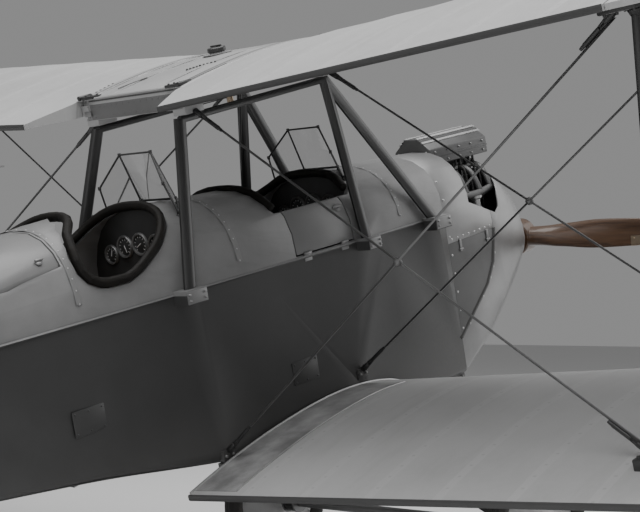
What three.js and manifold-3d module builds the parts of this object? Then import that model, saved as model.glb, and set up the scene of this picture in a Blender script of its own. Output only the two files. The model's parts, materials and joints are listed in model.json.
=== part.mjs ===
// A two-seat biplane with open cockpits, parked on its wheels and tailskid.
// Millimetres. The aeroplane is drawn in its flying attitude, nose towards -Y, port towards +X and up
// towards +Z, from the leading edge of the lower wing at its root, and one group turns it nose-up
// until the tailskid and both wheels stand on the ground.

import * as THREE from 'three';
import { mergeVertices } from 'three/addons/utils/BufferGeometryUtils.js';
import Module from 'manifold-3d';

const wasm = await Module();
wasm.setup();

// General sizes
const GAP = 0.6;
const MOVING_GAP = 7;
const DEG = Math.PI / 180;
const SIDES = { left: 1, right: -1 };

// Wings
const CHORD = 1370;
const STAGGER = 122;
const DIHEDRAL = 3.6 * DEG;
const INCIDENCE = { upper: 3.4 * DEG, lower: 2.6 * DEG };
const HALF_SPAN = 4500;
const THICKNESS = 0.1;
const CAMBER = 0.04;
const CAMBER_PLACE = 0.4;
const EDGE_THICKNESS = 20;
const TIP_LENGTH = 720;
const TIP_LEADING = 0.42;
const TIP_TRAILING = 0.5;
const CENTRE_HALF = 290;
const UPPER_ROOT = CENTRE_HALF + 25;
// Diagonal cut of the upper wing's inner rear corner: where it starts along the root, and its width
const ROOT_CUT = { y: 1180, wide: 87 };
const LOWER_ROOT = 342;
const FRONT_SPAR = 290;
const REAR_SPAR = 1115;
const STRUT_STATION = 2335;
// Station where the wires end, and what of the blocks lies outboard of the struts' middle
const WIRE_STATION = 2255;
const BLOCK_PAST = 25;
const UPPER_LEADING_Z = 1433;
const LOWER_LEADING_Z = -40;
const WING_BLOCK = { x: 138, y: 150, z: 60, sunk: 8 };
const STRUT = { wide: 110, thick: 38 };
const WIRE_RADIUS = 4.5;
const ACORN_RADIUS = 17;

// Centre section: the fuel tank between the upper wings, which ends behind the rear spar
const TANK_TRAILING = REAR_SPAR + 20;
const TANK_BELLY = -28;
// Blocks below the tank: their place across and along it, and where a wire ends in them
const TANK_BLOCK = { x: 70, y: 100, z: 34, sunk: 10, across: 262, wire: 285 };
const BLOCK_PLACE = { front: FRONT_SPAR - 12, rear: TANK_TRAILING - TANK_BLOCK.y / 2 };
// The bar below the blocks that the cabane struts hold, in the tank's frame
const CABANE_BAR = { x: 250, z: TANK_BELLY - 40, radius: 15, past: 45 };

// Ailerons
const AILERON_INNER = 2367;
const AILERON_OUTER = 4010;
const AILERON_HINGE = 1130;
const AILERON_NOSE = 30;

// Fuselage and nose
const FIREWALL = -425;
const STERNPOST = 5150;
const WALL = 16;
const DECK_POWER = 2.5;
const DECK_STEPS = 12;
const CORNER_STEPS = 3;
const SHAFT_Z = 370;
const COWL_WALL = 8;
const COWL_SEAM = 515;
const CABIN = { start: -395, end: 1655 };
const BEYOND = 500;

// Propeller
const PROP_Y = -1392;
const PROP_RADIUS = 930;
const HUB = { radius: 88, depth: 86, plate: 76, shaft: 40, bore: 41, nose: 36, reach: 140 };

// Undercarriage
const WHEEL_RADIUS = 330;
const TYRE_HALF = 50;
const WHEEL_X = 790;
const WHEEL_Y = -150;
const AXLE_Z = -690;
const AXLE_RADIUS = 22;
const LEG_X = WHEEL_X - 128;

// Tail
const TAIL_Z = 690;
const TAIL_THICK = 46;
const FLAP_THICK = 34;
const ELEVATOR_HINGE = 5050;
const HALF_TAIL = 1400;
const RUDDER_POST = STERNPOST + 30;
const SKID_PIVOT_Y = 4990;
const SKID_FOOT = { y: 5230, z: 252 };
const SHOE = { wide: 70, long: 150, thick: 16 };

// Turn about X that stands the wheels and the tailskid on one level floor
const run = SKID_FOOT.y - WHEEL_Y;
const rise = SKID_FOOT.z - AXLE_Z;
const PARKED = Math.atan2(rise, run) + Math.asin(WHEEL_RADIUS / Math.hypot(run, rise));
const FLOOR = SKID_FOOT.z * Math.cos(PARKED) - SKID_FOOT.y * Math.sin(PARKED);

// Materials
const finish = (color, roughness, metalness = 0) => (
  new THREE.MeshStandardMaterial({ color, roughness, metalness }));
const SILVER = () => finish(0xc9c9c4, 0.5, 0.1);
const DARK = () => finish(0x3b3d40, 0.45);
const ALLOY = () => finish(0xb9bbbd, 0.32, 0.85);
const STEEL = () => finish(0x4a4c4f, 0.4, 0.8);
const WOOD = () => finish(0x5a3820, 0.3);
const LEATHER = () => finish(0x2c211b, 0.6);
const RUBBER = () => finish(0x2a2a2a, 0.85);
const GLASS = () => finish(0xdfe8ea, 0.05);
const BOARD = () => finish(0x17181a, 0.5);

// Meshes and solids

const v = (x, y, z) => new THREE.Vector3(x, y, z);

function solidOf(geometry) {
  const bare = new THREE.BufferGeometry();
  bare.setAttribute('position', geometry.getAttribute('position'));
  if (geometry.index) bare.setIndex(geometry.index);
  const merged = mergeVertices(bare, 1e-3);
  const vertProperties = Float32Array.from(merged.getAttribute('position').array);
  const triVerts = Uint32Array.from(merged.index.array);
  return new wasm.Manifold(new wasm.Mesh({ numProp: 3, vertProperties, triVerts }));
}

function geometryOf(solid) {
  const mesh = solid.getMesh();
  const geometry = new THREE.BufferGeometry();
  geometry.setAttribute('position', new THREE.BufferAttribute(Float32Array.from(mesh.vertProperties), 3));
  geometry.setIndex(Array.from(mesh.triVerts));
  return geometry;
}

function signedVolume(position, index) {
  const [a, b, c] = [v(0, 0, 0), v(0, 0, 0), v(0, 0, 0)];
  let total = 0;
  for (let i = 0; i < index.length; i += 3) {
    a.fromArray(position, index[i] * 3);
    b.fromArray(position, index[i + 1] * 3);
    c.fromArray(position, index[i + 2] * 3);
    total += a.dot(b.cross(c)) / 6;
  }
  return total;
}

// A closed geometry from points and triangles, turned so that its faces point out
function closed(points, triangles) {
  const position = points.flatMap((p) => [p.x, p.y, p.z]);
  let index = triangles.flat();
  if (signedVolume(position, index) < 0) index = triangles.flatMap(([a, b, c]) => [a, c, b]);
  const geometry = new THREE.BufferGeometry();
  geometry.setAttribute('position', new THREE.Float32BufferAttribute(position, 3));
  geometry.setIndex(index);
  return geometry;
}

// Triangles between rings with equal counts of points
function skin(rings, endless = false) {
  const count = rings[0].length;
  const turns = endless ? rings.length : rings.length - 1;
  const triangles = [];
  for (let r = 0; r < turns; r++) {
    const next = (r + 1) % rings.length;
    for (let i = 0; i < count; i++) {
      const j = (i + 1) % count;
      triangles.push([r * count + i, r * count + j, next * count + j]);
      triangles.push([r * count + i, next * count + j, next * count + i]);
    }
  }
  return triangles;
}

// Triangles of a flat outline, in the outline's own direction
function capTriangles(points) {
  const forward = !THREE.ShapeUtils.isClockWise(points);
  const faces = THREE.ShapeUtils.triangulateShape(points, []);
  return faces.map(([a, b, c]) => {
    const turn = THREE.ShapeUtils.area([points[a], points[b], points[c]]) > 0;
    return turn === forward ? [a, b, c] : [a, c, b];
  });
}

// Solid skin through rings whose end rings lie flat across the named axis
function loft(rings, flat) {
  const triangles = skin(rings);
  const [u, w] = ['x', 'y', 'z'].filter((axis) => axis !== flat);
  const last = (rings.length - 1) * rings[0].length;
  for (const [ring, start, turned] of [[rings[0], 0, true], [rings.at(-1), last, false]]) {
    for (const [a, b, c] of capTriangles(ring.map((p) => new THREE.Vector2(p[u], p[w])))) {
      triangles.push(turned ? [start + c, start + b, start + a] : [start + a, start + b, start + c]);
    }
  }
  return closed(rings.flat(), triangles);
}

// Rings of a round tube along a curve, which may be closed on itself
function tubeRings(points, radius, sides, endless) {
  const path = new THREE.CatmullRomCurve3(points, endless, 'centripetal');
  const steps = Math.round(points.length * 1.5);
  const frames = path.computeFrenetFrames(steps, endless);
  return Array.from({ length: endless ? steps : steps + 1 }, (_, i) => {
    const centre = path.getPointAt(i / steps);
    return Array.from({ length: sides }, (__, k) => {
      const angle = (k / sides) * Math.PI * 2;
      return centre.clone()
        .addScaledVector(frames.normals[i], radius * Math.cos(angle))
        .addScaledVector(frames.binormals[i], radius * Math.sin(angle));
    });
  });
}

function ringTube(points, radius, sides) {
  const rings = tubeRings(points, radius, sides, true);
  return closed(rings.flat(), skin(rings, true));
}

function openTube(points, radius, sides) {
  const rings = tubeRings(points, radius, sides, false);
  const triangles = skin(rings);
  const last = (rings.length - 1) * sides;
  for (let i = 1; i + 1 < sides; i++) {
    triangles.push([0, i + 1, i]);
    triangles.push([last, last + i, last + i + 1]);
  }
  return closed(rings.flat(), triangles);
}

function box(x0, x1, y0, y1, z0, z1) {
  const geometry = new THREE.BoxGeometry(x1 - x0, y1 - y0, z1 - z0);
  geometry.translate((x0 + x1) / 2, (y0 + y1) / 2, (z0 + z1) / 2);
  return solidOf(geometry);
}

// A box about a point
function block(centre, size, grow = 0) {
  const half = [size.x / 2 + grow, size.y / 2 + grow, size.z / 2 + grow];
  return box(centre.x - half[0], centre.x + half[0], centre.y - half[1], centre.y + half[1],
    centre.z - half[2], centre.z + half[2]);
}

function outline(points) {
  return new THREE.Shape(points.map(([a, b]) => new THREE.Vector2(a, b)));
}

// A plate: a flat outline in the plane of the two named axes, thickened along the third
function plate(shape, thickness, plane, at = 0, bevel = 0) {
  const geometry = new THREE.ExtrudeGeometry(shape, {
    depth: thickness - 2 * bevel, bevelEnabled: bevel > 0, bevelSize: bevel, bevelOffset: -bevel,
    bevelThickness: bevel, bevelSegments: 1, curveSegments: 7,
  });
  geometry.translate(0, 0, bevel - thickness / 2);
  const [x, y, z] = [v(1, 0, 0), v(0, 1, 0), v(0, 0, 1)];
  const turn = {
    xy: new THREE.Matrix4(),
    yz: new THREE.Matrix4().makeBasis(y, z, x),
    xz: new THREE.Matrix4().makeBasis(x, z, y.clone().negate()),
  };
  geometry.applyMatrix4(turn[plane]);
  geometry.translate(...{ xy: [0, 0, at], yz: [at, 0, 0], xz: [0, at, 0] }[plane]);
  return geometry;
}

// Matrix that lays local Z from a to b, with local Y as near as it can be to aft
function along(a, b) {
  const axis = b.clone().sub(a).normalize();
  const aft = Math.abs(axis.y) > 0.9 ? v(0, 0, 1) : v(0, 1, 0);
  const side = new THREE.Vector3().crossVectors(aft, axis).normalize();
  const chordwise = new THREE.Vector3().crossVectors(axis, side);
  return new THREE.Matrix4().makeBasis(side, chordwise, axis).setPosition(a);
}

// A strut of streamline section between two points
function strut(a, b, wide, thick) {
  const shape = new THREE.Shape();
  shape.absellipse(0, 0, thick / 2, wide / 2, 0, Math.PI * 2);
  const depth = a.distanceTo(b);
  const geometry = new THREE.ExtrudeGeometry(shape, { depth, bevelEnabled: false, curveSegments: 5 });
  geometry.applyMatrix4(along(a, b));
  return solidOf(geometry);
}

// A round bar between two points
function bar(a, b, radius, sides = 8) {
  const geometry = new THREE.CylinderGeometry(radius, radius, a.distanceTo(b), sides);
  geometry.rotateX(Math.PI / 2);
  geometry.translate(0, 0, a.distanceTo(b) / 2);
  geometry.applyMatrix4(along(a, b));
  return solidOf(geometry);
}

function mirrored(geometry) {
  const copy = geometry.clone();
  copy.scale(-1, 1, 1);
  const index = Array.from(copy.index.array);
  for (let i = 0; i < index.length; i += 3) {
    [index[i + 1], index[i + 2]] = [index[i + 2], index[i + 1]];
  }
  copy.setIndex(index);
  return copy;
}

// The largest of a solid's separate pieces
function largest(solid) {
  const pieces = solid.decompose();
  return pieces.reduce((best, piece) => (piece.volume() > best.volume() ? piece : best));
}

// The assembly

const aeroplane = new THREE.Group();
aeroplane.rotation.x = -PARKED;
aeroplane.position.z = -FLOOR;

// Adds a named piece whose own origin, such as its hinge, is at the given place
function add(name, geometry, material, at = v(0, 0, 0), parent = aeroplane) {
  const mesh = new THREE.Mesh(geometry, material);
  mesh.name = name;
  geometry.translate(-at.x, -at.y, -at.z);
  mesh.position.copy(at);
  parent.add(mesh);
  return mesh;
}

// Fuselage body: flat sides, small lower corners and a domed decking above the upper longerons
// columns: y, half width, bottom, upper longeron, top of decking, lower corner radius
const BODY = [
  [FIREWALL, 320, -88, 650, 935, 30],
  [0, 332, -92, 650, 948, 30],
  [800, 328, -74, 650, 974, 30],
  [1115, 320, -40, 650, 992, 30],
  [1500, 304, 36, 650, 1020, 28],
  [1700, 294, 72, 650, 1000, 28],
  [2300, 262, 150, 650, 945, 26],
  [3300, 202, 255, 650, 858, 22],
  [4400, 122, 362, 648, 735, 18],
  [4520, 112, 374, 645, 662, 18],
  [STERNPOST, 34, 430, 645, 662, 10],
];
// Nose body ahead of the firewall, same columns
const NOSE = [
  [-1300, 92, 306, 376, 450, 68],
  [-1245, 146, 290, 392, 572, 100],
  [-1165, 192, 258, 415, 690, 130],
  [-1050, 232, 200, 455, 786, 125],
  [-880, 268, 120, 530, 872, 90],
  [-680, 296, 12, 600, 922, 60],
  [FIREWALL - GAP, 320, -88, 650, 935, 30],
];

function bodyRing([y, half, bottom, shoulder, top, corner], inset = 0) {
  const w = half - inset;
  const low = bottom + inset;
  const high = top - inset;
  const r = Math.max(corner - inset, 6);
  const lower = Array.from({ length: CORNER_STEPS + 1 }, (_, i) => {
    const angle = (i / CORNER_STEPS) * (Math.PI / 2);
    return [w - r + r * Math.sin(angle), low + r - r * Math.cos(angle)];
  });
  const deck = Array.from({ length: DECK_STEPS + 1 }, (_, i) => {
    const angle = (i / DECK_STEPS) * Math.PI;
    const across = Math.cos(angle);
    return [w * Math.sign(across) * Math.abs(across) ** (2 / DECK_POWER),
      shoulder + (high - shoulder) * Math.sin(angle) ** (2 / DECK_POWER)];
  });
  const others = [...lower].reverse().map(([x, z]) => [-x, z]);
  return [...lower, ...deck, ...others].map(([x, z]) => v(x, y, z));
}

// One row of a body table between its stations
function rowAt(table, y) {
  const next = Math.max(1, table.findIndex((row) => row[0] >= y));
  const [a, b] = [table[next - 1], table[next]];
  const t = (y - a[0]) / (b[0] - a[0]);
  return a.map((value, i) => value + (b[i] - value) * t);
}

function bodySolid(table, inset = 0, from = table[0][0], to = table.at(-1)[0]) {
  const inner = table.filter(([y]) => y > from + 1 && y < to - 1);
  const rows = [rowAt(table, from), ...inner, rowAt(table, to)];
  return solidOf(loft(rows.map((row) => bodyRing(row, inset)), 'y'));
}

const deckTop = (y) => rowAt(BODY, y)[4];
const floorAt = (y) => rowAt(BODY, y)[2] + WALL;

// Half width of the decking at a height
function deckX(y, z) {
  const [, half, , shoulder, top] = rowAt(BODY, y);
  const part = Math.min(1, Math.max(0, (z - shoulder) / (top - shoulder)));
  return half * (1 - part ** DECK_POWER) ** (1 / DECK_POWER);
}

// Height of the decking at a place across it
function deckZ(x, y) {
  const [, half, , shoulder, top] = rowAt(BODY, y);
  const part = Math.min(1, Math.abs(x) / half);
  return shoulder + (top - shoulder) * (1 - part ** DECK_POWER) ** (1 / DECK_POWER);
}

// Edges of the cockpit openings seen from the side, from the front top, down to the sill and up to the
// rear top; the first and last points are on the ridge of the decking
// columns: y, z
const COCKPITS = {
  front: [[60, 950], [84, 905], [120, 864], [141, 850], [602, 850], [620, 871], [634, 921], [640, 969]],
  rear: [[1075, 990], [1150, 905], [1250, 830], [1350, 775], [1430, 745], [1520, 745], [1575, 757],
    [1615, 780], [1645, 826], [1649, 884], [1629, 943], [1603, 985], [1560, 1008], [1522, 1018]],
};
const RIM = { radius: 16, inset: 23, sides: 8, low: 45, least: 25, angles: [90, 78, 66, 54, 42, 32, 24, 16] };

// Points of an opening's edge, moved in by an inset
function openingProfile(edge, inset = 0) {
  const [front, rear] = [edge[0][0] + inset * 1.4, edge.at(-1)[0] - inset * 1.2];
  const inner = edge.slice(1, -1).map(([y, z], i) => {
    const [[y0, z0], [y1, z1]] = [edge[i], edge[i + 2]];
    const length = Math.hypot(y1 - y0, z1 - z0);
    return [y - (z1 - z0) / length * inset, z + (y1 - y0) / length * inset];
  });
  return [[front, deckTop(front)], ...inner, [rear, deckTop(rear)]];
}

// Place along the body where one side of an opening's edge is at a height
function edgePlace(line, z) {
  const falls = line[0][1] > line.at(-1)[1];
  const at = Math.max(1, line.findIndex((point) => (falls ? point[1] <= z : point[1] >= z)));
  const [a, b] = [line[at - 1], line[at]];
  return a[0] + (b[0] - a[0]) * Math.min(1, Math.max(0, (z - a[1]) / (b[1] - a[1])));
}

// Points of the padded rim along an opening, over the port side from its front top to its rear top
function rimHalf(edge) {
  const profile = openingProfile(edge, RIM.inset);
  const sillStart = edge.findIndex(([, z], i) => z === edge[i + 1][1]);
  const [down, up] = [profile.slice(0, sillStart + 1), profile.slice(sillStart + 1)];
  const low = down.at(-1)[1] + RIM.low;
  const arc = (line, end, angles) => angles.map((angle) => {
    const [, , , shoulder, top] = rowAt(BODY, end);
    const z = shoulder + (top - shoulder) * Math.sin(angle * DEG) ** (2 / DECK_POWER);
    const y = edgePlace(line, z);
    return v(deckX(y, Math.min(z, deckTop(y))), y, z);
  }).filter((point) => point.z > low);
  const middle = [(down.at(-1)[0] + up[0][0]) / 2, down.at(-1)[1]];
  const sill = [...down, middle, ...up].filter(([, z]) => z <= low).map(([y, z]) => v(deckX(y, z), y, z));
  const fore = arc(down, down[0][0], RIM.angles);
  const aft = arc(up, up.at(-1)[0], [...RIM.angles].reverse());
  const all = [...fore, ...sill, ...aft];
  const kept = [all[0]];
  for (const point of all.slice(1)) {
    if (point.distanceTo(kept.at(-1)) > RIM.least) kept.push(point);
  }
  return kept;
}

function openingCutter(edge) {
  const high = deckTop(edge[0][0]) + BEYOND;
  const points = [...openingProfile(edge), [edge.at(-1)[0], high], [edge[0][0], high]];
  return solidOf(plate(outline(points), 2 * BEYOND, 'yz'));
}

// The door beside the front cockpit, to starboard, and the locker lid behind the rear one
const DOOR = { y0: 210, y1: 560, z0: 668 };
const LOCKER = { y0: 1700, y1: 2170, z0: 826, x0: -247, x1: 170, rim: 12, floor: 600 };
const PANEL_WALL = 14;

const doorRegion = (grow) => box(
  -BEYOND, -100, DOOR.y0 - grow, DOOR.y1 + grow, DOOR.z0 - grow, DOOR.z0 + BEYOND);
const lidRegion = (grow) => box(
  LOCKER.x0 - grow, LOCKER.x1 + grow, LOCKER.y0 - grow, LOCKER.y1 + grow, LOCKER.z0, LOCKER.z0 + BEYOND);

// Fitting blocks where struts, wires and spars meet the body
// columns: name, x, y, z, size x, size y, size z
const FITTINGS = [
  ['front_cabane', 356, -320, 636, 84, 110, 56],
  ['mid_cabane', 360, 158, 638, 84, 80, 50],
  ['rear_cabane', 350, 1190, 640, 76, 110, 56],
  ['gear_front', 270, -370, -92, 80, 90, 50],
  ['gear_rear', 270, 310, -94, 80, 90, 50],
  ['wire_front', 314, FRONT_SPAR, 100, 46, 60, 44],
  ['wire_rear', 310, REAR_SPAR, -10, 46, 60, 44],
  ['spar_front', 316, FRONT_SPAR, -16, 44, 60, 40],
  ['spar_rear', 314, REAR_SPAR, -58, 44, 60, 40],
  ['tail_stay', 82, 4760, 402, 56, 56, 44],
];

function fittingPoint(name, side) {
  const [, x, y, z] = FITTINGS.find((row) => row[0] === name);
  return v(side * x, y, z);
}

function fittingBox(name, side, grow = 0) {
  const [, , , , x, y, z] = FITTINGS.find((row) => row[0] === name);
  return block(fittingPoint(name, side), { x, y, z }, grow);
}

const SKID_WELL = { half: 34, reach: 40, low: 300, high: 560 };

function makeFuselage() {
  const outer = bodySolid(BODY);
  let hull = outer;
  for (const side of Object.values(SIDES)) {
    for (const [name] of FITTINGS) hull = hull.add(fittingBox(name, side));
  }
  hull = hull.subtract(bodySolid(BODY, WALL, CABIN.start, CABIN.end));
  hull = hull.subtract(openingCutter(COCKPITS.front)).subtract(openingCutter(COCKPITS.rear));
  hull = hull.subtract(doorRegion(MOVING_GAP)).subtract(lidRegion(MOVING_GAP));
  const hold = bodySolid(BODY, WALL + 10, LOCKER.y0 + 6, LOCKER.y1 - 6);
  const mouth = box(LOCKER.x0 + LOCKER.rim, LOCKER.x1 - LOCKER.rim, LOCKER.y0, LOCKER.y1,
    LOCKER.floor, LOCKER.floor + BEYOND);
  hull = hull.subtract(hold.intersect(mouth));
  hull = hull.subtract(box(-SKID_WELL.half, SKID_WELL.half, SKID_PIVOT_Y - SKID_WELL.reach,
    SKID_PIVOT_Y + SKID_WELL.reach, SKID_WELL.low, SKID_WELL.high));
  add('fuselage', geometryOf(hull), DARK());

  const shell = outer.subtract(bodySolid(BODY, PANEL_WALL, 0, 2500));
  const door = shell.intersect(doorRegion(0)).subtract(openingCutter(COCKPITS.front));
  const doorMiddle = (DOOR.y0 + DOOR.y1) / 2;
  const doorHinge = v(-deckX(DOOR.y0, DOOR.z0) - 1, doorMiddle, DOOR.z0 - 2);
  add('front_cockpit_door', geometryOf(door), SILVER(), doorHinge);
  const lid = shell.intersect(lidRegion(0));
  const lidMiddle = (LOCKER.y0 + LOCKER.y1) / 2;
  const lidHinge = v(LOCKER.x1 + 2, lidMiddle, deckZ(LOCKER.x1, lidMiddle) + 12);
  add('locker_lid', geometryOf(lid), SILVER(), lidHinge);
}

// Padded rims of the two openings; the front one stops short of the door
function makeCoamings() {
  const rear = rimHalf(COCKPITS.rear);
  const across = (points) => points.map((point) => v(-point.x, point.y, point.z));
  const loop = [...rear, ...across(rear.slice(1, -1)).reverse()];
  add('coaming_rear', ringTube(loop, RIM.radius, RIM.sides), LEATHER());
  const front = rimHalf(COCKPITS.front);
  const clear = RIM.radius + 14;
  const ahead = across(front.slice(1).filter((point) => point.y < DOOR.y0 - clear)).reverse();
  const behind = across(front.slice(1, -1).filter((point) => point.y > DOOR.y1 + clear)).reverse();
  add('coaming_front', openTube([...ahead, ...front, ...behind], RIM.radius, RIM.sides), LEATHER());
}

const SEAT = { half: 200, board: 18, back: 420, leg: 18, legIn: 10 };
const STICK = { radius: 13, long: 500, base: 40, thick: 24, lean: 30 };
const BOARD_THICK = 14;
// Windscreens of three flat panes: part of the half width where the middle pane ends, how far aft the
// side panes reach, how far they narrow upwards, and the height of their rear edge
const SCREEN = { thick: 5, middle: 0.5, sweep: 90, taper: 0.1, fall: 0.6, lift: 7 };

function makeCockpitFittings() {
  // columns: name, y of the pan's front, y of the back rest, height of the pan
  const seats = [['seat_front', 300, 640, 250], ['seat_rear', 1180, 1560, 310]];
  for (const [name, front, back, height] of seats) {
    const pan = box(-SEAT.half, SEAT.half, front, back, height, height + SEAT.board);
    const rest = box(-SEAT.half, SEAT.half, back - SEAT.board, back, height, height + SEAT.back);
    let seat = pan.add(rest);
    const outer = SEAT.half - SEAT.legIn;
    for (const side of Object.values(SIDES)) {
      const [a, b] = [side * outer, side * (outer - SEAT.leg)].sort((p, q) => p - q);
      seat = seat.add(box(a, b, front + 40, back - 60, floorAt(back) + 1, height + 5));
    }
    add(name, geometryOf(seat), WOOD());
  }
  // columns: name, y of the board's rear face, lowest edge
  const boards = [['panel_front', 70, 610], ['panel_rear', 1092, 640]];
  for (const [name, y, low] of boards) {
    const slab = box(-BEYOND, BEYOND, y - BOARD_THICK, y, low, low + 600);
    const board = bodySolid(BODY, WALL + 1, y - BOARD_THICK, y).intersect(slab);
    add(name, geometryOf(board), BOARD());
  }
  // columns: name, y of its foot
  const sticks = [['stick_front', 170], ['stick_rear', 1120]];
  for (const [name, y] of sticks) {
    const foot = floorAt(y + STICK.base) + 1;
    const base = box(-STICK.base, STICK.base, y - STICK.base, y + STICK.base, foot, foot + STICK.thick);
    const rod = bar(v(0, y, foot + 10), v(0, y + STICK.lean, foot + STICK.long), STICK.radius, 8);
    add(name, geometryOf(rod.add(base)), STEEL());
  }
  // columns: name, y of the foot at the middle, half width, height, rake
  const screens = [['windscreen_front', -15, 205, 190, 75], ['windscreen_rear', 960, 210, 200, 80]];
  for (const [name, y, half, height, rake] of screens) {
    const inner = v(half * SCREEN.middle, y, deckTop(y) + SCREEN.lift);
    const outer = v(half, y + SCREEN.sweep, deckZ(half, y + SCREEN.sweep) + SCREEN.lift);
    const rise = v(-half * SCREEN.middle * SCREEN.taper, rake, height);
    const back = inner.clone().sub(outer).multiplyScalar(SCREEN.taper);
    const outerHead = outer.clone().addScaledVector(rise, SCREEN.fall).add(back);
    const port = [[outer, outerHead], [inner, inner.clone().add(rise)]];
    const across = (point) => v(-point.x, point.y, point.z);
    const edges = [...port.map((edge) => edge.map(across)), ...port.reverse()];
    const through = v(0, SCREEN.thick, 0);
    const rings = edges.map(([foot, head]) => (
      [foot, head, head.clone().add(through), foot.clone().add(through)]));
    add(name, loft(rings, 'x'), GLASS());
  }
}

// Nose cowling in panels round the engine, open above it and at its sides
const BAY = { rear: -650, front: -920, lowRear: 670, lowFront: 580, lip: 660, end: -1100, high: 840 };
// Edge between the nose bowl and the side panels, from the seam down to the firewall
// columns: y, z
const BOWL_EDGE = [[-830, COWL_SEAM], [-778, 360], [-700, 272], [FIREWALL + 10, 80]];

function makeNose() {
  const outer = bodySolid(NOSE);
  const baffle = box(-BEYOND, BEYOND, BAY.rear + 10, BAY.rear + 18, COWL_SEAM + 10, 1000);
  const inner = bodySolid(NOSE, COWL_WALL, NOSE[0][0] + 20, NOSE.at(-1)[0] - 12)
    .add(box(-230, 230, FIREWALL - 14, FIREWALL + 20, 0, 800)).subtract(baffle);
  const shaftHole = bar(v(0, NOSE[0][0] - 50, SHAFT_Z), v(0, NOSE[0][0] + 50, SHAFT_Z), 62, 16);
  const top = COWL_SEAM + BEYOND + 200;
  const bayProfile = outline([[BAY.rear, top], [BAY.rear, BAY.lowRear], [BAY.front + 40, BAY.lowFront],
    [BAY.front, BAY.lowFront + 20], [BAY.front - 30, BAY.lip], [BAY.end, BAY.high], [BAY.end, top]]);
  const bay = solidOf(plate(bayProfile, 2 * BEYOND, 'yz'));
  const shell = outer.subtract(inner).subtract(shaftHole).subtract(bay);
  const cut = GAP / 2;
  // Outlines in the side view of the nose bowl and of the panels behind it
  const behind = (grow) => outline([[BOWL_EDGE[0][0] + grow, top],
    ...BOWL_EDGE.map(([y, z]) => [y + grow, z]), [FIREWALL + 20, top]]);
  const rearPart = solidOf(plate(behind(cut), 2 * BEYOND, 'yz'));
  const frontPart = solidOf(plate(behind(-cut), 2 * BEYOND, 'yz'));
  const below = box(-BEYOND, BEYOND, -1700, FIREWALL, -300, COWL_SEAM - cut);
  const above = box(-BEYOND, BEYOND, -1700, FIREWALL, COWL_SEAM + cut, top);
  const panels = shell.intersect(rearPart);
  for (const [word, side] of Object.entries(SIDES)) {
    const half = box(Math.min(0, side * BEYOND), Math.max(0, side * BEYOND), -1700, FIREWALL, -300, top);
    add(`cowl_lower_${word}`, geometryOf(largest(panels.intersect(below).intersect(half))), ALLOY());
  }
  add('cowl_upper', geometryOf(largest(panels.intersect(above))), ALLOY());
  add('nose_cowl', geometryOf(largest(shell.subtract(frontPart))), ALLOY());
}

// Engine: crankcase, four finned cylinders in line, their heads and the cover over them
const CYLINDERS = { first: -1008, pitch: 104, count: 4, base: 440, head: 820, radius: 38, fin: 50, fins: 6 };
const HEAD = { radius: 49, tall: 28 };
const ROCKER = { y0: -1095, y1: -654, half: 108, low: 850, side: 926, shoulder: 950, ridge: 984, flat: 34 };
const EXHAUST = { x: 178, z: 690, front: -955, rear: -840, radius: 34, port: 18, pipe: 30, outlet: 1150 };

function cylinder(y) {
  const { base, head, radius, fin, fins } = CYLINDERS;
  const profile = [[0, base], [radius, base]];
  const step = (head - base - 60) / fins;
  for (let f = 0; f < fins; f++) {
    const z = base + 40 + f * step;
    profile.push([radius, z], [fin, z + 4], [fin, z + 14], [radius, z + 18]);
  }
  profile.push([radius, head - 10], [HEAD.radius, head - 8], [HEAD.radius, head + HEAD.tall]);
  profile.push([0, head + HEAD.tall]);
  const lathe = new THREE.LatheGeometry(profile.map(([r, z]) => new THREE.Vector2(r, z)), 10);
  lathe.rotateX(Math.PI / 2);
  lathe.translate(0, y, 0);
  return solidOf(lathe);
}

function makeEngine() {
  const places = Array.from({ length: CYLINDERS.count }, (_, i) => CYLINDERS.first + i * CYLINDERS.pitch);
  let engine = box(-112, 112, -1140, -470, 288, CYLINDERS.base + 10);
  for (const y of places) engine = engine.add(cylinder(y));
  add('engine', geometryOf(engine), STEEL());

  const { half, low, side, shoulder, ridge, flat } = ROCKER;
  const section = outline([[-half, low], [half, low], [half, side], [half - 30, shoulder], [flat, ridge],
    [-flat, ridge], [30 - half, shoulder], [-half, side]]);
  add('head_cover', plate(section, ROCKER.y1 - ROCKER.y0, 'xz', (ROCKER.y0 + ROCKER.y1) / 2), ALLOY());

  const { x, z, radius } = EXHAUST;
  let pipe = bar(v(x, EXHAUST.front, z), v(x, EXHAUST.rear, z), radius, 10);
  for (const y of places) {
    const joined = Math.min(EXHAUST.rear - EXHAUST.port, Math.max(EXHAUST.front + EXHAUST.port, y));
    pipe = pipe.add(bar(v(HEAD.radius + 18, y, z + 25), v(x, joined, z), EXHAUST.port, 8));
  }
  const tail = [v(x, EXHAUST.rear - 20, z), v(215, -830, 688), v(290, -785, 676), v(350, -735, 640),
    v(384, -665, 570), v(390, -560, 505), v(390, -450, 470), v(390, -200, 445), v(390, EXHAUST.outlet, 415)];
  pipe = pipe.add(solidOf(openTube(tail, EXHAUST.pipe, 8)));
  add('exhaust_pipe', geometryOf(pipe), STEEL());
}

// Propeller: two wooden blades lofted about a boss
// columns: part of the radius, blade width, thickness, pitch angle in degrees
const BLADE = [
  [0.0, 120, 86, 60], [0.13, 118, 74, 52], [0.28, 132, 40, 38], [0.5, 148, 28, 26],
  [0.75, 134, 18, 18], [0.92, 98, 12, 14], [1.0, 36, 8, 12],
];
const BLADE_SIDES = 10;

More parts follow.
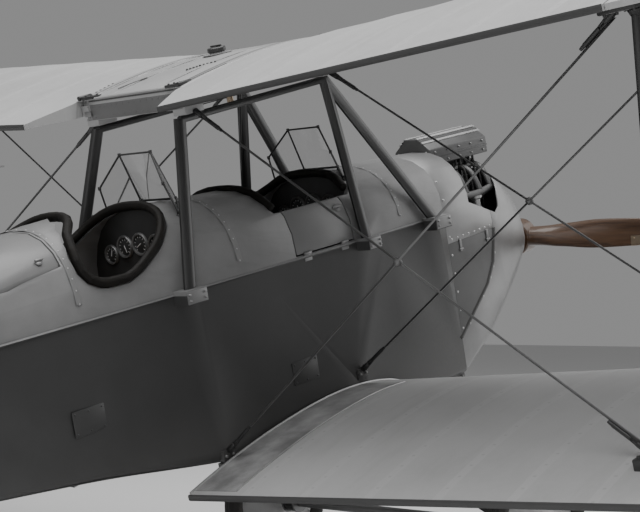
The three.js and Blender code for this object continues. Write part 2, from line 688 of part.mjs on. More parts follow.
function bladeGeometry(sign) {
  const rings = BLADE.map(([part, wide, thick, pitch]) => Array.from({ length: BLADE_SIDES }, (_, i) => {
    const angle = (i / BLADE_SIDES) * Math.PI * 2;
    const across = Math.cos(angle) * wide / 2;
    const through = Math.sin(angle) * thick / 2;
    const turn = pitch * DEG;
    const y = across * Math.sin(turn) + through * Math.cos(turn);
    const z = across * Math.cos(turn) - through * Math.sin(turn);
    return v(sign * part * PROP_RADIUS, PROP_Y + y * 0.8, SHAFT_Z + sign * z);
  }));
  return loft(rings, 'x');
}

function makePropeller() {
  const shaft = (from, to, radius, sides) => bar(v(0, from, SHAFT_Z), v(0, to, SHAFT_Z), radius, sides);
  const [front, back] = [PROP_Y - HUB.depth / 2, PROP_Y + HUB.depth / 2];
  const wood = shaft(front, back, HUB.radius, 20)
    .add(solidOf(bladeGeometry(1))).add(solidOf(bladeGeometry(-1)))
    .subtract(shaft(front - 150, back + 150, HUB.bore, 12));
  add('propeller', geometryOf(wood), WOOD(), v(0, PROP_Y, SHAFT_Z));
  const hub = shaft(front - 14, front - 1, HUB.plate, 16)
    .add(shaft(front - HUB.nose, PROP_Y + HUB.reach, HUB.shaft, 12));
  add('propeller_hub', geometryOf(hub), STEEL(), v(0, PROP_Y, SHAFT_Z));
}

// Wings

// Upper and lower heights of the wing section at a part of the chord
function section(part) {
  const half = 5 * THICKNESS * (0.2969 * Math.sqrt(part) - 0.126 * part - 0.3516 * part ** 2
    + 0.2843 * part ** 3 - 0.1036 * part ** 4);
  const p = CAMBER_PLACE;
  const line = part < p
    ? CAMBER / p ** 2 * (2 * p * part - part ** 2)
    : CAMBER / (1 - p) ** 2 * (1 - 2 * p + 2 * p * part - part ** 2);
  return [line + half, line - half];
}

const SECTION_PARTS = [0, 0.02, 0.07, 0.15, 0.27, 0.42, 0.6, 0.8, 1];
// Height of the wing's skin at a place along the chord, on its upper or its lower side
const surface = (y, top) => {
  const part = y / CHORD;
  return section(part)[top ? 0 : 1] * CHORD + (top ? 1 : -1) * part * EDGE_THICKNESS / 2;
};

// Points round the section at one place along the span; a short chord near the tip is also thin
function wingRing(x, leading, trailing) {
  const chord = trailing - leading;
  const scale = Math.min(1, chord / CHORD * 1.2) * Math.min(1, chord / CHORD + 0.1);
  const at = (part, top) => v(x, leading + part * chord, surface(part * CHORD, top) * scale);
  const upper = SECTION_PARTS.map((part) => at(part, true));
  const lower = SECTION_PARTS.slice(1).map((part) => at(part, false));
  return [...upper, ...lower.reverse()];
}

// One wing panel from its root to its rounded tip, span along +X from the centreline
function wingPanel(root) {
  const start = HALF_SPAN - TIP_LENGTH;
  const rings = [wingRing(root, 0, CHORD), wingRing(start, 0, CHORD)];
  for (const t of [0.35, 0.6, 0.8, 0.93, 0.985]) {
    const bow = 1 - Math.sqrt(1 - t * t);
    rings.push(wingRing(start + t * TIP_LENGTH, bow * CHORD * TIP_LEADING, CHORD * (1 - bow * TIP_TRAILING)));
  }
  return solidOf(loft(rings, 'x'));
}

// What the upper wing's inner rear corner loses, so that the wing clears the decking when a pilot stands
function rootCutter() {
  const edgeY = (x) => ROOT_CUT.y + (x - UPPER_ROOT) * (CHORD - ROOT_CUT.y) / ROOT_CUT.wide;
  const [inner, outer] = [UPPER_ROOT - 50, UPPER_ROOT + ROOT_CUT.wide + 30];
  const corner = outline([[inner, edgeY(inner)], [outer, edgeY(outer)], [inner, edgeY(outer)]]);
  return solidOf(plate(corner, BEYOND, 'xy'));
}

// Centre of the block on a wing that holds a strut and its wires
function wingBlock(upper, spar) {
  const sunk = upper ? -WING_BLOCK.sunk : WING_BLOCK.sunk;
  return v(STRUT_STATION + BLOCK_PAST - WING_BLOCK.x / 2, spar, surface(spar, !upper) + sunk);
}

function wingMatrix(upper, side) {
  const root = (upper ? UPPER_ROOT : LOWER_ROOT) * side;
  const [y, z] = upper ? [-STAGGER, UPPER_LEADING_Z] : [0, LOWER_LEADING_Z];
  return new THREE.Matrix4().makeTranslation(root, y, z)
    .multiply(new THREE.Matrix4().makeRotationY(-side * DIHEDRAL))
    .multiply(new THREE.Matrix4().makeRotationX(-(upper ? INCIDENCE.upper : INCIDENCE.lower)))
    .multiply(new THREE.Matrix4().makeTranslation(-root, 0, 0));
}

function makeWings() {
  const hingeZ = (surface(AILERON_HINGE, true) + surface(AILERON_HINGE, false)) / 2;
  const slotFront = AILERON_HINGE - AILERON_NOSE - MOVING_GAP;
  const cut = (inset, front) => (
    box(AILERON_INNER + inset, AILERON_OUTER - inset, front, CHORD + 100, -300, 300));
  const nose = bar(v(AILERON_INNER + MOVING_GAP, AILERON_HINGE, hingeZ),
    v(AILERON_OUTER - MOVING_GAP, AILERON_HINGE, hingeZ), AILERON_NOSE, 12);
  for (const [level, upper] of [['upper', true], ['lower', false]]) {
    const panel = wingPanel(upper ? UPPER_ROOT : LOWER_ROOT);
    const aileron = geometryOf(panel.intersect(cut(MOVING_GAP, AILERON_HINGE)).add(nose));
    let wing = panel.subtract(cut(0, slotFront));
    if (upper) wing = wing.subtract(rootCutter());
    for (const spar of [FRONT_SPAR, REAR_SPAR]) wing = wing.add(block(wingBlock(upper, spar), WING_BLOCK));
    const wingGeometry = geometryOf(wing);
    for (const [name, side] of Object.entries(SIDES)) {
      const group = new THREE.Group();
      group.applyMatrix4(wingMatrix(upper, side));
      aeroplane.add(group);
      const turned = (geometry) => (side > 0 ? geometry.clone() : mirrored(geometry));
      add(`${level}_wing_${name}`, turned(wingGeometry), SILVER(), v(0, 0, 0), group);
      const hinge = v(side * (AILERON_INNER + AILERON_OUTER) / 2, AILERON_HINGE, hingeZ);
      add(`${level}_aileron_${name}`, turned(aileron), SILVER(), hinge, group);
    }
  }
}

// Centre section

function centreMatrix() {
  return new THREE.Matrix4().makeTranslation(0, -STAGGER, UPPER_LEADING_Z)
    .multiply(new THREE.Matrix4().makeRotationX(-INCIDENCE.upper));
}

// Place in a block below the tank that holds the bar of the cabane and the landing wire
function tankBlock(side, y, across = TANK_BLOCK.across) {
  return v(side * across, y, TANK_BELLY - TANK_BLOCK.z / 2 + TANK_BLOCK.sunk);
}

// The tank's section: the wing's upper skin over a deeper, flat belly
function tankRing(x) {
  const ring = wingRing(x, 0, CHORD);
  return ring.map((point) => (
    point.y > 60 && point.z < surface(point.y, true) - 5 ? v(point.x, point.y, TANK_BELLY) : point));
}

function makeCentreSection() {
  const whole = solidOf(loft([tankRing(-CENTRE_HALF), tankRing(CENTRE_HALF)], 'x'));
  let solid = whole.intersect(box(-BEYOND, BEYOND, -100, TANK_TRAILING, -400, 400));
  for (const side of Object.values(SIDES)) {
    for (const y of Object.values(BLOCK_PLACE)) solid = solid.add(block(tankBlock(side, y), TANK_BLOCK));
    for (const spar of [FRONT_SPAR, REAR_SPAR]) {
      const reach = UPPER_ROOT - GAP - 2.5;
      const [a, b] = [side * (CENTRE_HALF - 20), side * reach].sort((p, q) => p - q);
      solid = solid.add(box(a, b, spar - 22, spar + 22, -8, 36));
    }
  }
  const fillerY = 560;
  const skinZ = surface(fillerY, true);
  solid = solid.add(bar(v(60, fillerY, skinZ - 20), v(60, fillerY, skinZ + 28), 34, 12));
  const mesh = add('centre_section', geometryOf(solid), ALLOY());
  mesh.applyMatrix4(centreMatrix());
}

// Struts and wires between the wings

// A block of a wing or of the tank, taken into the body frame with some room round it
function placedBlock(centre, size, matrix) {
  const geometry = new THREE.BoxGeometry(size.x + 2 * GAP, size.y + 2 * GAP, size.z + 2 * GAP);
  geometry.translate(centre.x, centre.y, centre.z);
  geometry.applyMatrix4(matrix);
  return solidOf(geometry);
}

function sidePoint(point, side) {
  return v(side * point.x, point.y, point.z);
}

function wingBlocks(side) {
  return [true, false].flatMap((upper) => [FRONT_SPAR, REAR_SPAR].map((spar) => (
    placedBlock(sidePoint(wingBlock(upper, spar), side), WING_BLOCK, wingMatrix(upper, side)))));
}

function tankBlocks(side) {
  return Object.values(BLOCK_PLACE).map((y) => (
    placedBlock(tankBlock(side, y), TANK_BLOCK, centreMatrix())));
}

// Place in a wing's block at a station, towards the other wing
function wingPoint(upper, side, spar, station) {
  const depth = (upper ? -1 : 1) * WING_BLOCK.z * 0.3;
  const point = v(side * station, spar, wingBlock(upper, spar).z + depth);
  return point.applyMatrix4(wingMatrix(upper, side));
}

// Place on the axis of the cabane's bar
function barPoint(side, y) {
  return v(side * CABANE_BAR.x, y, CABANE_BAR.z).applyMatrix4(centreMatrix());
}

// Nearest point between two lines that cross or almost cross
function crossingPoint(a, b, c, d) {
  const p = b.clone().sub(a);
  const q = d.clone().sub(c);
  const r = a.clone().sub(c);
  const [pp, pq, qq, pr, qr] = [p.dot(p), p.dot(q), q.dot(q), p.dot(r), q.dot(r)];
  const t = (pq * qr - qq * pr) / (pp * qq - pq * pq);
  const s = (pp * qr - pq * pr) / (pp * qq - pq * pq);
  return a.clone().addScaledVector(p, t).add(c.clone().addScaledVector(q, s)).multiplyScalar(0.5);
}

const without = (solid, cutters) => cutters.reduce((rest, cutter) => rest.subtract(cutter), solid);

function makeInterplane() {
  // columns: name, spar, place of the landing wire's top along the tank
  const rows = [['front', FRONT_SPAR, BLOCK_PLACE.front], ['rear', REAR_SPAR, BLOCK_PLACE.rear]];
  for (const [sideName, side] of Object.entries(SIDES)) {
    const blocks = wingBlocks(side);
    for (const [name, spar, tankY] of rows) {
      const [head, base] = [true, false].map((upper) => wingPoint(upper, side, spar, STRUT_STATION));
      const column = without(strut(base, head, STRUT.wide, STRUT.thick), blocks);
      add(`strut_${name}_${sideName}`, geometryOf(largest(column)), DARK());

      const [top, foot] = [true, false].map((upper) => wingPoint(upper, side, spar, WIRE_STATION));
      const bodyEnd = fittingPoint(`wire_${name}`, side);
      const tankEnd = tankBlock(side, tankY, TANK_BLOCK.wire).applyMatrix4(centreMatrix());
      const crossing = crossingPoint(bodyEnd, top, tankEnd, foot);
      const acorn = new THREE.SphereGeometry(ACORN_RADIUS, 8, 6);
      acorn.translate(crossing.x, crossing.y, crossing.z);
      const wire = (a, b) => bar(a, b, WIRE_RADIUS, 6);
      const pair = wire(bodyEnd, top).add(wire(tankEnd, foot)).add(solidOf(acorn));
      const wires = without(pair, [...blocks, ...tankBlocks(side), fittingBox(`wire_${name}`, side, GAP)]);
      add(`wires_${name}_${sideName}`, geometryOf(largest(wires)), STEEL());
    }
  }
}

// Cabane: on each side a front strut raked forward, a middle and a rear strut, and a bar along their tops
// that lies against the tank's blocks and runs past the rear one
const CABANE_STRUT = { wide: 58, thick: 30 };

function makeCabane() {
  for (const [sideName, side] of Object.entries(SIDES)) {
    const head = barPoint(side, BLOCK_PLACE.front);
    const tail = barPoint(side, BLOCK_PLACE.rear + CABANE_BAR.past);
    let frame = bar(head, tail, CABANE_BAR.radius, 8);
    // columns: body fitting, top of the strut
    const struts = [['front_cabane', head], ['mid_cabane', head], ['rear_cabane', tail]];
    for (const [name, top] of struts) {
      frame = frame.add(strut(fittingPoint(name, side), top, CABANE_STRUT.wide, CABANE_STRUT.thick));
    }
    const ends = struts.map(([name]) => fittingBox(name, side, GAP));
    add(`cabane_${sideName}`, geometryOf(largest(without(frame, [...ends, ...tankBlocks(side)]))), DARK());
  }
}

// Undercarriage: on each side a sprung front leg and a rear leg that meet at the cross axle
// columns: radius, place along the axle from the wheel's middle, outboard negative
const WHEEL = [[24, -70], [46, -70], [56, -40], [248, -16], [248, 16], [56, 58], [46, 78], [24, 78]];

function turned(profile, side, steps) {
  const lathe = new THREE.LatheGeometry(profile.map(([r, h]) => new THREE.Vector2(r, h)), steps);
  lathe.rotateZ(-Math.PI / 2 * side);
  lathe.translate(side * WHEEL_X, WHEEL_Y, AXLE_Z);
  return geometryOf(solidOf(lathe));
}

function makeUndercarriage() {
  const axle = (reach, radius) => bar(v(-reach, WHEEL_Y, AXLE_Z), v(reach, WHEEL_Y, AXLE_Z), radius, 12);
  const tread = TYRE_HALF / 1.25;
  const tyre = Array.from({ length: 11 }, (_, i) => {
    const angle = (i / 10) * Math.PI * 2;
    return [WHEEL_RADIUS - tread + tread * Math.cos(angle), TYRE_HALF * Math.sin(angle)];
  });
  for (const [sideName, side] of Object.entries(SIDES)) {
    const place = (x) => v(side * x, WHEEL_Y, AXLE_Z);
    const foot = place(LEG_X);
    const sleeve = bar(place(LEG_X - 34), place(LEG_X + 34), 46, 12);
    const legs = strut(foot, fittingPoint('gear_front', side), 84, 46)
      .add(strut(foot, fittingPoint('gear_rear', side), 58, 30)).add(sleeve);
    const ends = ['gear_front', 'gear_rear'].map((name) => fittingBox(name, side, GAP));
    const cut = without(legs, [...ends, axle(900, AXLE_RADIUS + GAP)]);
    add(`gear_leg_${sideName}`, geometryOf(largest(cut)), DARK());
    const hub = place(WHEEL_X);
    add(`wheel_${sideName}`, turned([...WHEEL, WHEEL[0]], side, 24), ALLOY(), hub);
    add(`tyre_${sideName}`, turned(tyre, side, 32), RUBBER(), hub);
  }
  add('axle', geometryOf(axle(WHEEL_X + 84, AXLE_RADIUS)), STEEL());
}

// Tail surfaces

function makeTailplane() {
  const tip = HALF_TAIL;
  const rear = ELEVATOR_HINGE - 34;
  const stab = new THREE.Shape();
  stab.moveTo(-tip, rear);
  stab.bezierCurveTo(-tip + 20, 4760, -tip + 260, 4640, -tip + 520, 4590);
  stab.lineTo(-120, 4500);
  stab.lineTo(120, 4500);
  stab.lineTo(tip - 520, 4590);
  stab.bezierCurveTo(tip - 260, 4640, tip - 20, 4760, tip, rear);
  add('tailplane', plate(stab, TAIL_THICK, 'xy', TAIL_Z, 14), SILVER());

  const under = TAIL_Z - TAIL_THICK / 2;
  for (const [sideName, side] of Object.entries(SIDES)) {
    const flap = new THREE.Shape();
    flap.moveTo(side * 60, ELEVATOR_HINGE);
    flap.lineTo(side * (tip - 4), ELEVATOR_HINGE);
    flap.bezierCurveTo(side * (tip - 10), 5320, side * (tip - 330), 5480, side * (tip - 620), 5490);
    flap.lineTo(side * 330, 5490);
    flap.lineTo(side * 78, 5110);
    flap.lineTo(side * 60, 5110);
    const hinge = v(side * 60, ELEVATOR_HINGE, TAIL_Z);
    const nose = bar(hinge, v(side * (tip - 4), ELEVATOR_HINGE, TAIL_Z), 20, 10);
    const shape = solidOf(plate(flap, FLAP_THICK, 'xy', TAIL_Z, 10)).add(nose);
    add(`elevator_${sideName}`, geometryOf(shape), SILVER(), hinge);

    const stay = bar(fittingPoint('tail_stay', side), v(side * 640, 4830, under - 2), 13, 8);
    const above = box(-tip, tip, 4500, 5200, under - GAP, under + 200);
    const cutStay = without(stay, [fittingBox('tail_stay', side, GAP), above]);
    add(`tail_stay_${sideName}`, geometryOf(largest(cutStay)), STEEL());
  }
}

const FIN = { front: 4440, tall: 520, thick: 36 };

function makeFinAndRudder() {
  const base = TAIL_Z + TAIL_THICK / 2 + GAP;
  const top = base + FIN.tall;
  const fin = new THREE.Shape();
  fin.moveTo(FIN.front, base);
  fin.bezierCurveTo(FIN.front + 190, base + 150, FIN.front + 330, top - 40, FIN.front + 540, top);
  fin.bezierCurveTo(FIN.front + 600, top + 10, STERNPOST - 20, top + 8, STERNPOST, top);
  fin.lineTo(STERNPOST, base + 18);
  fin.lineTo(5010, base + 18);
  fin.lineTo(5010, base);
  add('fin', plate(fin, FIN.thick, 'yz', 0, 10), SILVER());

  const low = 405;
  const rudder = new THREE.Shape();
  rudder.moveTo(RUDDER_POST, low);
  rudder.lineTo(RUDDER_POST, top - 8);
  const post = RUDDER_POST;
  rudder.bezierCurveTo(post + 40, top + 100, post + 310, top + 100, post + 395, top - 150);
  rudder.bezierCurveTo(post + 470, base + 60, post + 430, low + 20, post + 200, low);
  const nose = bar(v(0, RUDDER_POST, low), v(0, RUDDER_POST, top - 8), 19, 10);
  const solid = solidOf(plate(rudder, FLAP_THICK, 'yz', 0, 10)).add(nose);
  add('rudder', geometryOf(solid), SILVER(), v(0, RUDDER_POST, 700));
}

function makeTailskid() {
  const pivot = v(0, SKID_PIVOT_Y, 500);
  const knee = v(0, SKID_PIVOT_Y + 26, 350);
  const heel = v(0, SKID_FOOT.y - 40, SKID_FOOT.z + 10);
  const shoe = new THREE.BoxGeometry(SHOE.wide, SHOE.long, SHOE.thick);
  shoe.translate(0, -40, SHOE.thick / 2);
  shoe.rotateX(PARKED);
  shoe.translate(0, SKID_FOOT.y, SKID_FOOT.z);
  const spring = strut(v(0, SKID_PIVOT_Y - 60, 386), heel, 34, 44);
  add('tailskid', geometryOf(bar(pivot, knee, 17, 10).add(spring).add(solidOf(shoe))), WOOD(), pivot);
}

makeFuselage();
makeCoamings();
makeCockpitFittings();
makeNose();
makeEngine();
makePropeller();
makeWings();
makeCentreSection();
makeInterplane();
makeCabane();
makeUndercarriage();
makeTailplane();
makeFinAndRudder();
makeTailskid();

// The origin is on the floor below the middle of the length
aeroplane.updateMatrixWorld(true);
const reach = new THREE.Box3().setFromObject(aeroplane, true);
aeroplane.position.y = -(reach.min.y + reach.max.y) / 2;

export default aeroplane;
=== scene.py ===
"""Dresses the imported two-seat biplane: fabric, metal, leather, rigging and fittings.

Sizes are metres. Most pieces are laid out in the aeroplane's flying attitude, with port along +X,
aft along +Y and up along +Z from the leading edge of the lower wing at its root, and are then
turned nose-up onto the wheels and tailskid with the matrix PARK.
"""
from __future__ import annotations

import json
import logging
import math
from contextlib import contextmanager
from dataclasses import dataclass, field
from enum import Enum
from typing import Callable, Iterable, Iterator, Sequence

import bpy
from mathutils import Matrix, Vector

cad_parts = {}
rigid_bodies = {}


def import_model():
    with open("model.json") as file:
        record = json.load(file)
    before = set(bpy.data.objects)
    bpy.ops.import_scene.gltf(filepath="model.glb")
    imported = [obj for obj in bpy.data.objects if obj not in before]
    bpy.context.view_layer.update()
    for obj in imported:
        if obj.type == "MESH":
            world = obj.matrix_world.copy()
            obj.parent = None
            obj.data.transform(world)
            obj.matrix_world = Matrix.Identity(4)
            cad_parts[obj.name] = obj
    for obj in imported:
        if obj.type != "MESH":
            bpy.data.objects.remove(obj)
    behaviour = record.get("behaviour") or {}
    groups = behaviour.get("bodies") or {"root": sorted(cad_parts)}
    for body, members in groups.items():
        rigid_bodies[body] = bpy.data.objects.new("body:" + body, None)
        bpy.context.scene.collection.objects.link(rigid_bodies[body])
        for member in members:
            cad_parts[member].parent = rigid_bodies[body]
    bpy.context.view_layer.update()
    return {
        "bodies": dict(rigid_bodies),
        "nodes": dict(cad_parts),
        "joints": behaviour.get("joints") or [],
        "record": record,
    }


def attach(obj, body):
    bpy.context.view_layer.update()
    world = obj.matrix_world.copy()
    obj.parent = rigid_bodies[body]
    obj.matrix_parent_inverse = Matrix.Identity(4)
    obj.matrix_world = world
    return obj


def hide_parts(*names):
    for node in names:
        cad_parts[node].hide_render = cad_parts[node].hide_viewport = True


log = logging.getLogger("biplane")

Place = tuple[float, float, float]
Colour = tuple[float, float, float, float]
Test = Callable[[Vector, Vector], bool]
Piece = bpy.types.Object
Socket = bpy.types.NodeSocket

PARK_ANGLE = math.radians(13.395283)
PARK = Matrix.Translation((0.0, -2.159918, 0.966478)) @ Matrix.Rotation(-PARK_ANGLE, 4, "X")

# Wings, as in the model
CHORD = 1.37
STAGGER = 0.122
DIHEDRAL = math.radians(3.6)
HALF_SPAN = 4.5
TIP_LENGTH = 0.72
THICKNESS = 0.1
CAMBER = 0.04
CAMBER_PLACE = 0.4
EDGE_THICKNESS = 0.02
ROOT_CUT_START = 1.18
ROOT_CUT_WIDE = 0.087
AILERON_INNER = 2.367
AILERON_OUTER = 4.01
AILERON_HINGE = 1.13
AILERON_NOSE = 0.03
MOVING_GAP = 0.007
FRONT_SPAR = 0.29
REAR_SPAR = 1.115
STRUT_STATION = 2.335
WIRE_STATION = 2.255
BLOCK_INNER = 2.222
BLOCK_OUTER = 2.36
BLOCK_SUNK = 0.008
RIB_PITCH = 0.305

# Tank between the upper wings, as in the model
TANK_TRAILING = REAR_SPAR + 0.02
TANK_BELLY = -0.028
TANK_WIRE = (0.285, TANK_BELLY - 0.007)
TANK_BLOCK_FRONT = FRONT_SPAR - 0.012
TANK_BLOCK_REAR = TANK_TRAILING - 0.05

# Nose, undercarriage and tail, as in the model
SHAFT_Z = 0.37
COWL_SEAM = 0.515
BOWL_EDGE = ((-0.83, COWL_SEAM), (-0.778, 0.36), (-0.7, 0.272), (-0.415, 0.08))
CYLINDERS = (-1.008, -0.904, -0.8, -0.696)
PROP_Y = -1.392
PROP_RADIUS = 0.93
WHEEL = Vector((0.79, -0.15, -0.69))
WHEEL_RADIUS = 0.33
LEG_X = 0.662
LEG_CHORD = 0.084
LEG_THICK = 0.046
TAIL_Z = 0.69
TAIL_THICK = 0.046
ELEVATOR_HINGE = 5.05
HALF_TAIL = 1.4
STERNPOST = 5.15
RUDDER_POST = 5.18
FIN_BASE = 0.7136
FIN_TOP = FIN_BASE + 0.52
RUDDER_LOW = 0.405

# Fuselage, as in the model: y, half width, bottom, upper longeron, top of decking
BODY: tuple[tuple[float, ...], ...] = (
    (-0.425, 0.32, -0.088, 0.65, 0.935),
    (0.000, 0.332, -0.092, 0.65, 0.948),
    (0.8, 0.328, -0.074, 0.65, 0.974),
    (1.115, 0.32, -0.04, 0.65, 0.992),
    (1.5, 0.304, 0.036, 0.65, 1.02),
    (1.7, 0.294, 0.072, 0.65, 1.000),
    (2.3, 0.262, 0.15, 0.65, 0.945),
    (3.3, 0.202, 0.255, 0.65, 0.858),
    (4.4, 0.122, 0.362, 0.648, 0.735),
    (4.52, 0.112, 0.374, 0.645, 0.662),
    (5.15, 0.034, 0.43, 0.645, 0.662),
)
NOSE: tuple[tuple[float, ...], ...] = (
    (-1.3, 0.092, 0.306, 0.376, 0.45),
    (-1.245, 0.146, 0.29, 0.392, 0.572),
    (-1.165, 0.192, 0.258, 0.415, 0.69),
    (-1.05, 0.232, 0.2, 0.455, 0.786),
    (-0.88, 0.268, 0.12, 0.53, 0.872),
    (-0.68, 0.296, 0.012, 0.6, 0.922),
    (-0.425, 0.32, -0.088, 0.65, 0.935),
)
DECK_POWER = 2.5
QUARTERS = (0.0, 0.25, 0.5, 0.75, 1.0)

# Fittings on the fuselage, as in the model: place, then size
FITTINGS: dict[str, tuple[Place, Place]] = {
    "front_cabane": ((0.356, -0.32, 0.636), (0.084, 0.11, 0.056)),
    "mid_cabane": ((0.36, 0.158, 0.638), (0.084, 0.08, 0.05)),
    "rear_cabane": ((0.35, 1.19, 0.64), (0.076, 0.11, 0.056)),
    "gear_front": ((0.27, -0.37, -0.092), (0.08, 0.09, 0.05)),
    "gear_rear": ((0.27, 0.31, -0.094), (0.08, 0.09, 0.05)),
    "wire_front": ((0.314, FRONT_SPAR, 0.1), (0.046, 0.06, 0.044)),
    "wire_rear": ((0.31, REAR_SPAR, -0.01), (0.046, 0.06, 0.044)),
}


class Side(Enum):
    """The two sides of the aeroplane, with the sign of X."""

    LEFT = 1
    RIGHT = -1

    @property
    def word(self) -> str:
        """The side's name as the model's nodes spell it."""
        return self.name.lower()


class Level(Enum):
    """Upper and lower wing: leading edge place, root station and incidence."""

    UPPER = ("upper", -STAGGER, 1.433, 0.315, math.radians(3.4))
    LOWER = ("lower", 0.0, -0.04, 0.342, math.radians(2.6))

    @property
    def word(self) -> str:
        """The level's name as the model's nodes spell it."""
        return self.value[0]

    @property
    def root(self) -> float:
        """Station of the root rib."""
        return self.value[3]

    def flying(self, side: Side) -> Matrix:
        """Matrix from the wing's own frame, whose X has the side's sign, into the flying attitude.

        Args:
            side: Side that the wing is on.

        Returns:
            The matrix.
        """
        _, y, z, root, incidence = self.value
        turn = Matrix.Translation((root * side.value, y, z))
        turn @= Matrix.Rotation(-side.value * DIHEDRAL, 4, "Y")
        turn @= Matrix.Rotation(-incidence, 4, "X")
        return turn @ Matrix.Translation((-root * side.value, 0.0, 0.0))

    def matrix(self, side: Side) -> Matrix:
        """Matrix from the wing's own frame into the parked frame."""
        return PARK @ self.flying(side)


TANK_FLYING = Matrix.Translation((0.0, -STAGGER, 1.433)) @ Matrix.Rotation(math.radians(-3.4), 4, "X")
TANK = PARK @ TANK_FLYING


def table_row(table: Sequence[Sequence[float]], y: float) -> list[float]:
    """Row of a body table at a station, straight between its neighbours.

    Args:
        table: Rows that begin with their station.
        y: The station.

    Returns:
        The row's values there.
    """
    after = next((i for i, row in enumerate(table) if row[0] >= y and i > 0), len(table) - 1)
    a, b = table[after - 1], table[after]
    t = (y - a[0]) / (b[0] - a[0])
    return [p + (q - p) * t for p, q in zip(a, b)]


def deck_z(x: float, y: float) -> float:
    """Height of the decking at a place across it.

    Args:
        x: Place across the body.
        y: Place along it.

    Returns:
        The height of its skin.
    """
    _, half, _, shoulder, top = table_row(BODY, y)
    part = min(1.0, abs(x) / half)
    return shoulder + (top - shoulder) * (1 - part**DECK_POWER) ** (1 / DECK_POWER)


def skin_x(y: float, z: float) -> float:
    """Half width of the nose or the fuselage at a station and a height above its lower corner.

    Args:
        y: The station.
        z: The height.

    Returns:
        The distance of its skin from the middle.
    """
    _, half, _, shoulder, top = table_row(BODY if y > BODY[0][0] else NOSE, y)
    part = min(1.0, max(0.0, (z - shoulder) / (top - shoulder)))
    return half * (1 - part**DECK_POWER) ** (1 / DECK_POWER)


def skin_normal(y: float, z: float, step: float = 0.012) -> Vector:
    """Direction that the port side of the body faces at a station and a height.

    Args:
        y: The station.
        z: The height.
        step: Reach of the differences that it is taken from.

    Returns:
        The outward unit vector.
    """
    along = vec(skin_x(y + step, z) - skin_x(y - step, z), 2 * step, 0.0)
    up = vec(skin_x(y, z + step) - skin_x(y, z - step), 0.0, 2 * step)
    return along.cross(up).normalized() * (1 if along.cross(up).x > 0 else -1)


def section(part: float) -> tuple[float, float]:
    """Upper and lower height of the wing section at a part of the chord, blunt edge included.

    Args:
        part: Part of the chord, from 0 at the leading edge to 1.

    Returns:
        The two heights above the chord line.
    """
    half = 5 * THICKNESS * (0.2969 * math.sqrt(part) - 0.126 * part - 0.3516 * part**2 + 0.2843 * part**3
        - 0.1036 * part**4)
    p = CAMBER_PLACE
    if part < p:
        line = CAMBER / p**2 * (2 * p * part - part**2)
    else:
        line = CAMBER / (1 - p) ** 2 * (1 - 2 * p + 2 * p * part - part**2)
    edge = part * EDGE_THICKNESS / 2
    return (line + half) * CHORD + edge, (line - half) * CHORD - edge


def vec(x: float, y: float, z: float) -> Vector:
    """A vector from its three parts."""
    return Vector((x, y, z))


def across(point: Sequence[float]) -> Vector:
    """The same place on the other side."""
    return vec(-point[0], point[1], point[2])


def circle(count: int) -> list[tuple[float, float]]:
    """Cosine and sine of even turns round a circle."""
    return [(math.cos(math.tau * i / count), math.sin(math.tau * i / count)) for i in range(count)]


def between(a: Sequence[float], b: Sequence[float], t: float) -> tuple[float, ...]:
    """The place a part of the way from a to b."""
    return tuple(p + (q - p) * t for p, q in zip(a, b))


def stations(start: float, stop: float, step: float) -> list[float]:
    """Even places from start to stop, about a step apart.

    Args:
        start: First place.
        stop: Last place.
        step: Distance wanted between them.

    Returns:
        The places, both ends included.
    """
    count = max(1, round(abs(stop - start) / step))
    return [start + (stop - start) * i / count for i in range(count + 1)]


def bezier(a: Sequence[float], b: Sequence[float], c: Sequence[float], d: Sequence[float],
        steps: int = 16) -> list[tuple[float, ...]]:
    """Points along a cubic curve after its first one.

    Args:
        a: Start of the curve.
        b: Its first handle.
        c: Its second handle.
        d: Its end.
        steps: Number of points.

    Returns:
        The points, the end included.
    """
    points = []
    for i in range(1, steps + 1):
        t = i / steps
        weights = ((1 - t) ** 3, 3 * t * (1 - t) ** 2, 3 * t**2 * (1 - t), t**3)
        points.append(tuple(sum(w * p[k] for w, p in zip(weights, (a, b, c, d))) for k in range(len(a))))
    return points


# Hand tools


def clear_selection() -> None:
    """Leaves edit mode and deselects everything, the model's own nodes included."""
    if bpy.context.object and bpy.context.object.mode != "OBJECT":
        bpy.ops.object.mode_set(mode="OBJECT")
    bpy.ops.object.select_all(action="DESELECT")


def take(piece: Piece) -> Piece:
    """Makes one object the only selected and the active one.

    Args:
        piece: The object.

    Returns:
        The same object.
    """
    clear_selection()
    piece.hide_viewport = False
    piece.select_set(True)
    bpy.context.view_layer.objects.active = piece
    return piece


@contextmanager
def editing(piece: Piece) -> Iterator[None]:
    """Edit mode on one piece with all of it selected.

    Args:
        piece: The piece.

    Returns:
        Nothing, while the piece is in edit mode.
    """
    take(piece)
    bpy.ops.object.mode_set(mode="EDIT")
    bpy.ops.mesh.select_all(action="SELECT")
    yield
    bpy.ops.object.mode_set(mode="OBJECT")


@contextmanager
def editing_faces(piece: Piece, test: Test) -> Iterator[None]:
    """Edit mode on one piece with the faces selected whose centre and normal pass a test.

    Args:
        piece: The piece.
        test: Whether a face counts, from its centre and its normal.

    Returns:
        Nothing, while the piece is in edit mode.
    """
    with editing(piece):
        bpy.ops.mesh.select_mode(type="FACE")
        bpy.ops.mesh.select_all(action="DESELECT")
    for face in piece.data.polygons:
        face.select = test(face.center, face.normal)
    bpy.ops.object.mode_set(mode="EDIT")
    yield
    bpy.ops.object.mode_set(mode="OBJECT")


def apply_modifiers(piece: Piece) -> None:
    """Applies every modifier of a piece in its order.

    Args:
        piece: The piece.
    """
    take(piece)
    for modifier in list(piece.modifiers):
        bpy.ops.object.modifier_apply(modifier=modifier.name)


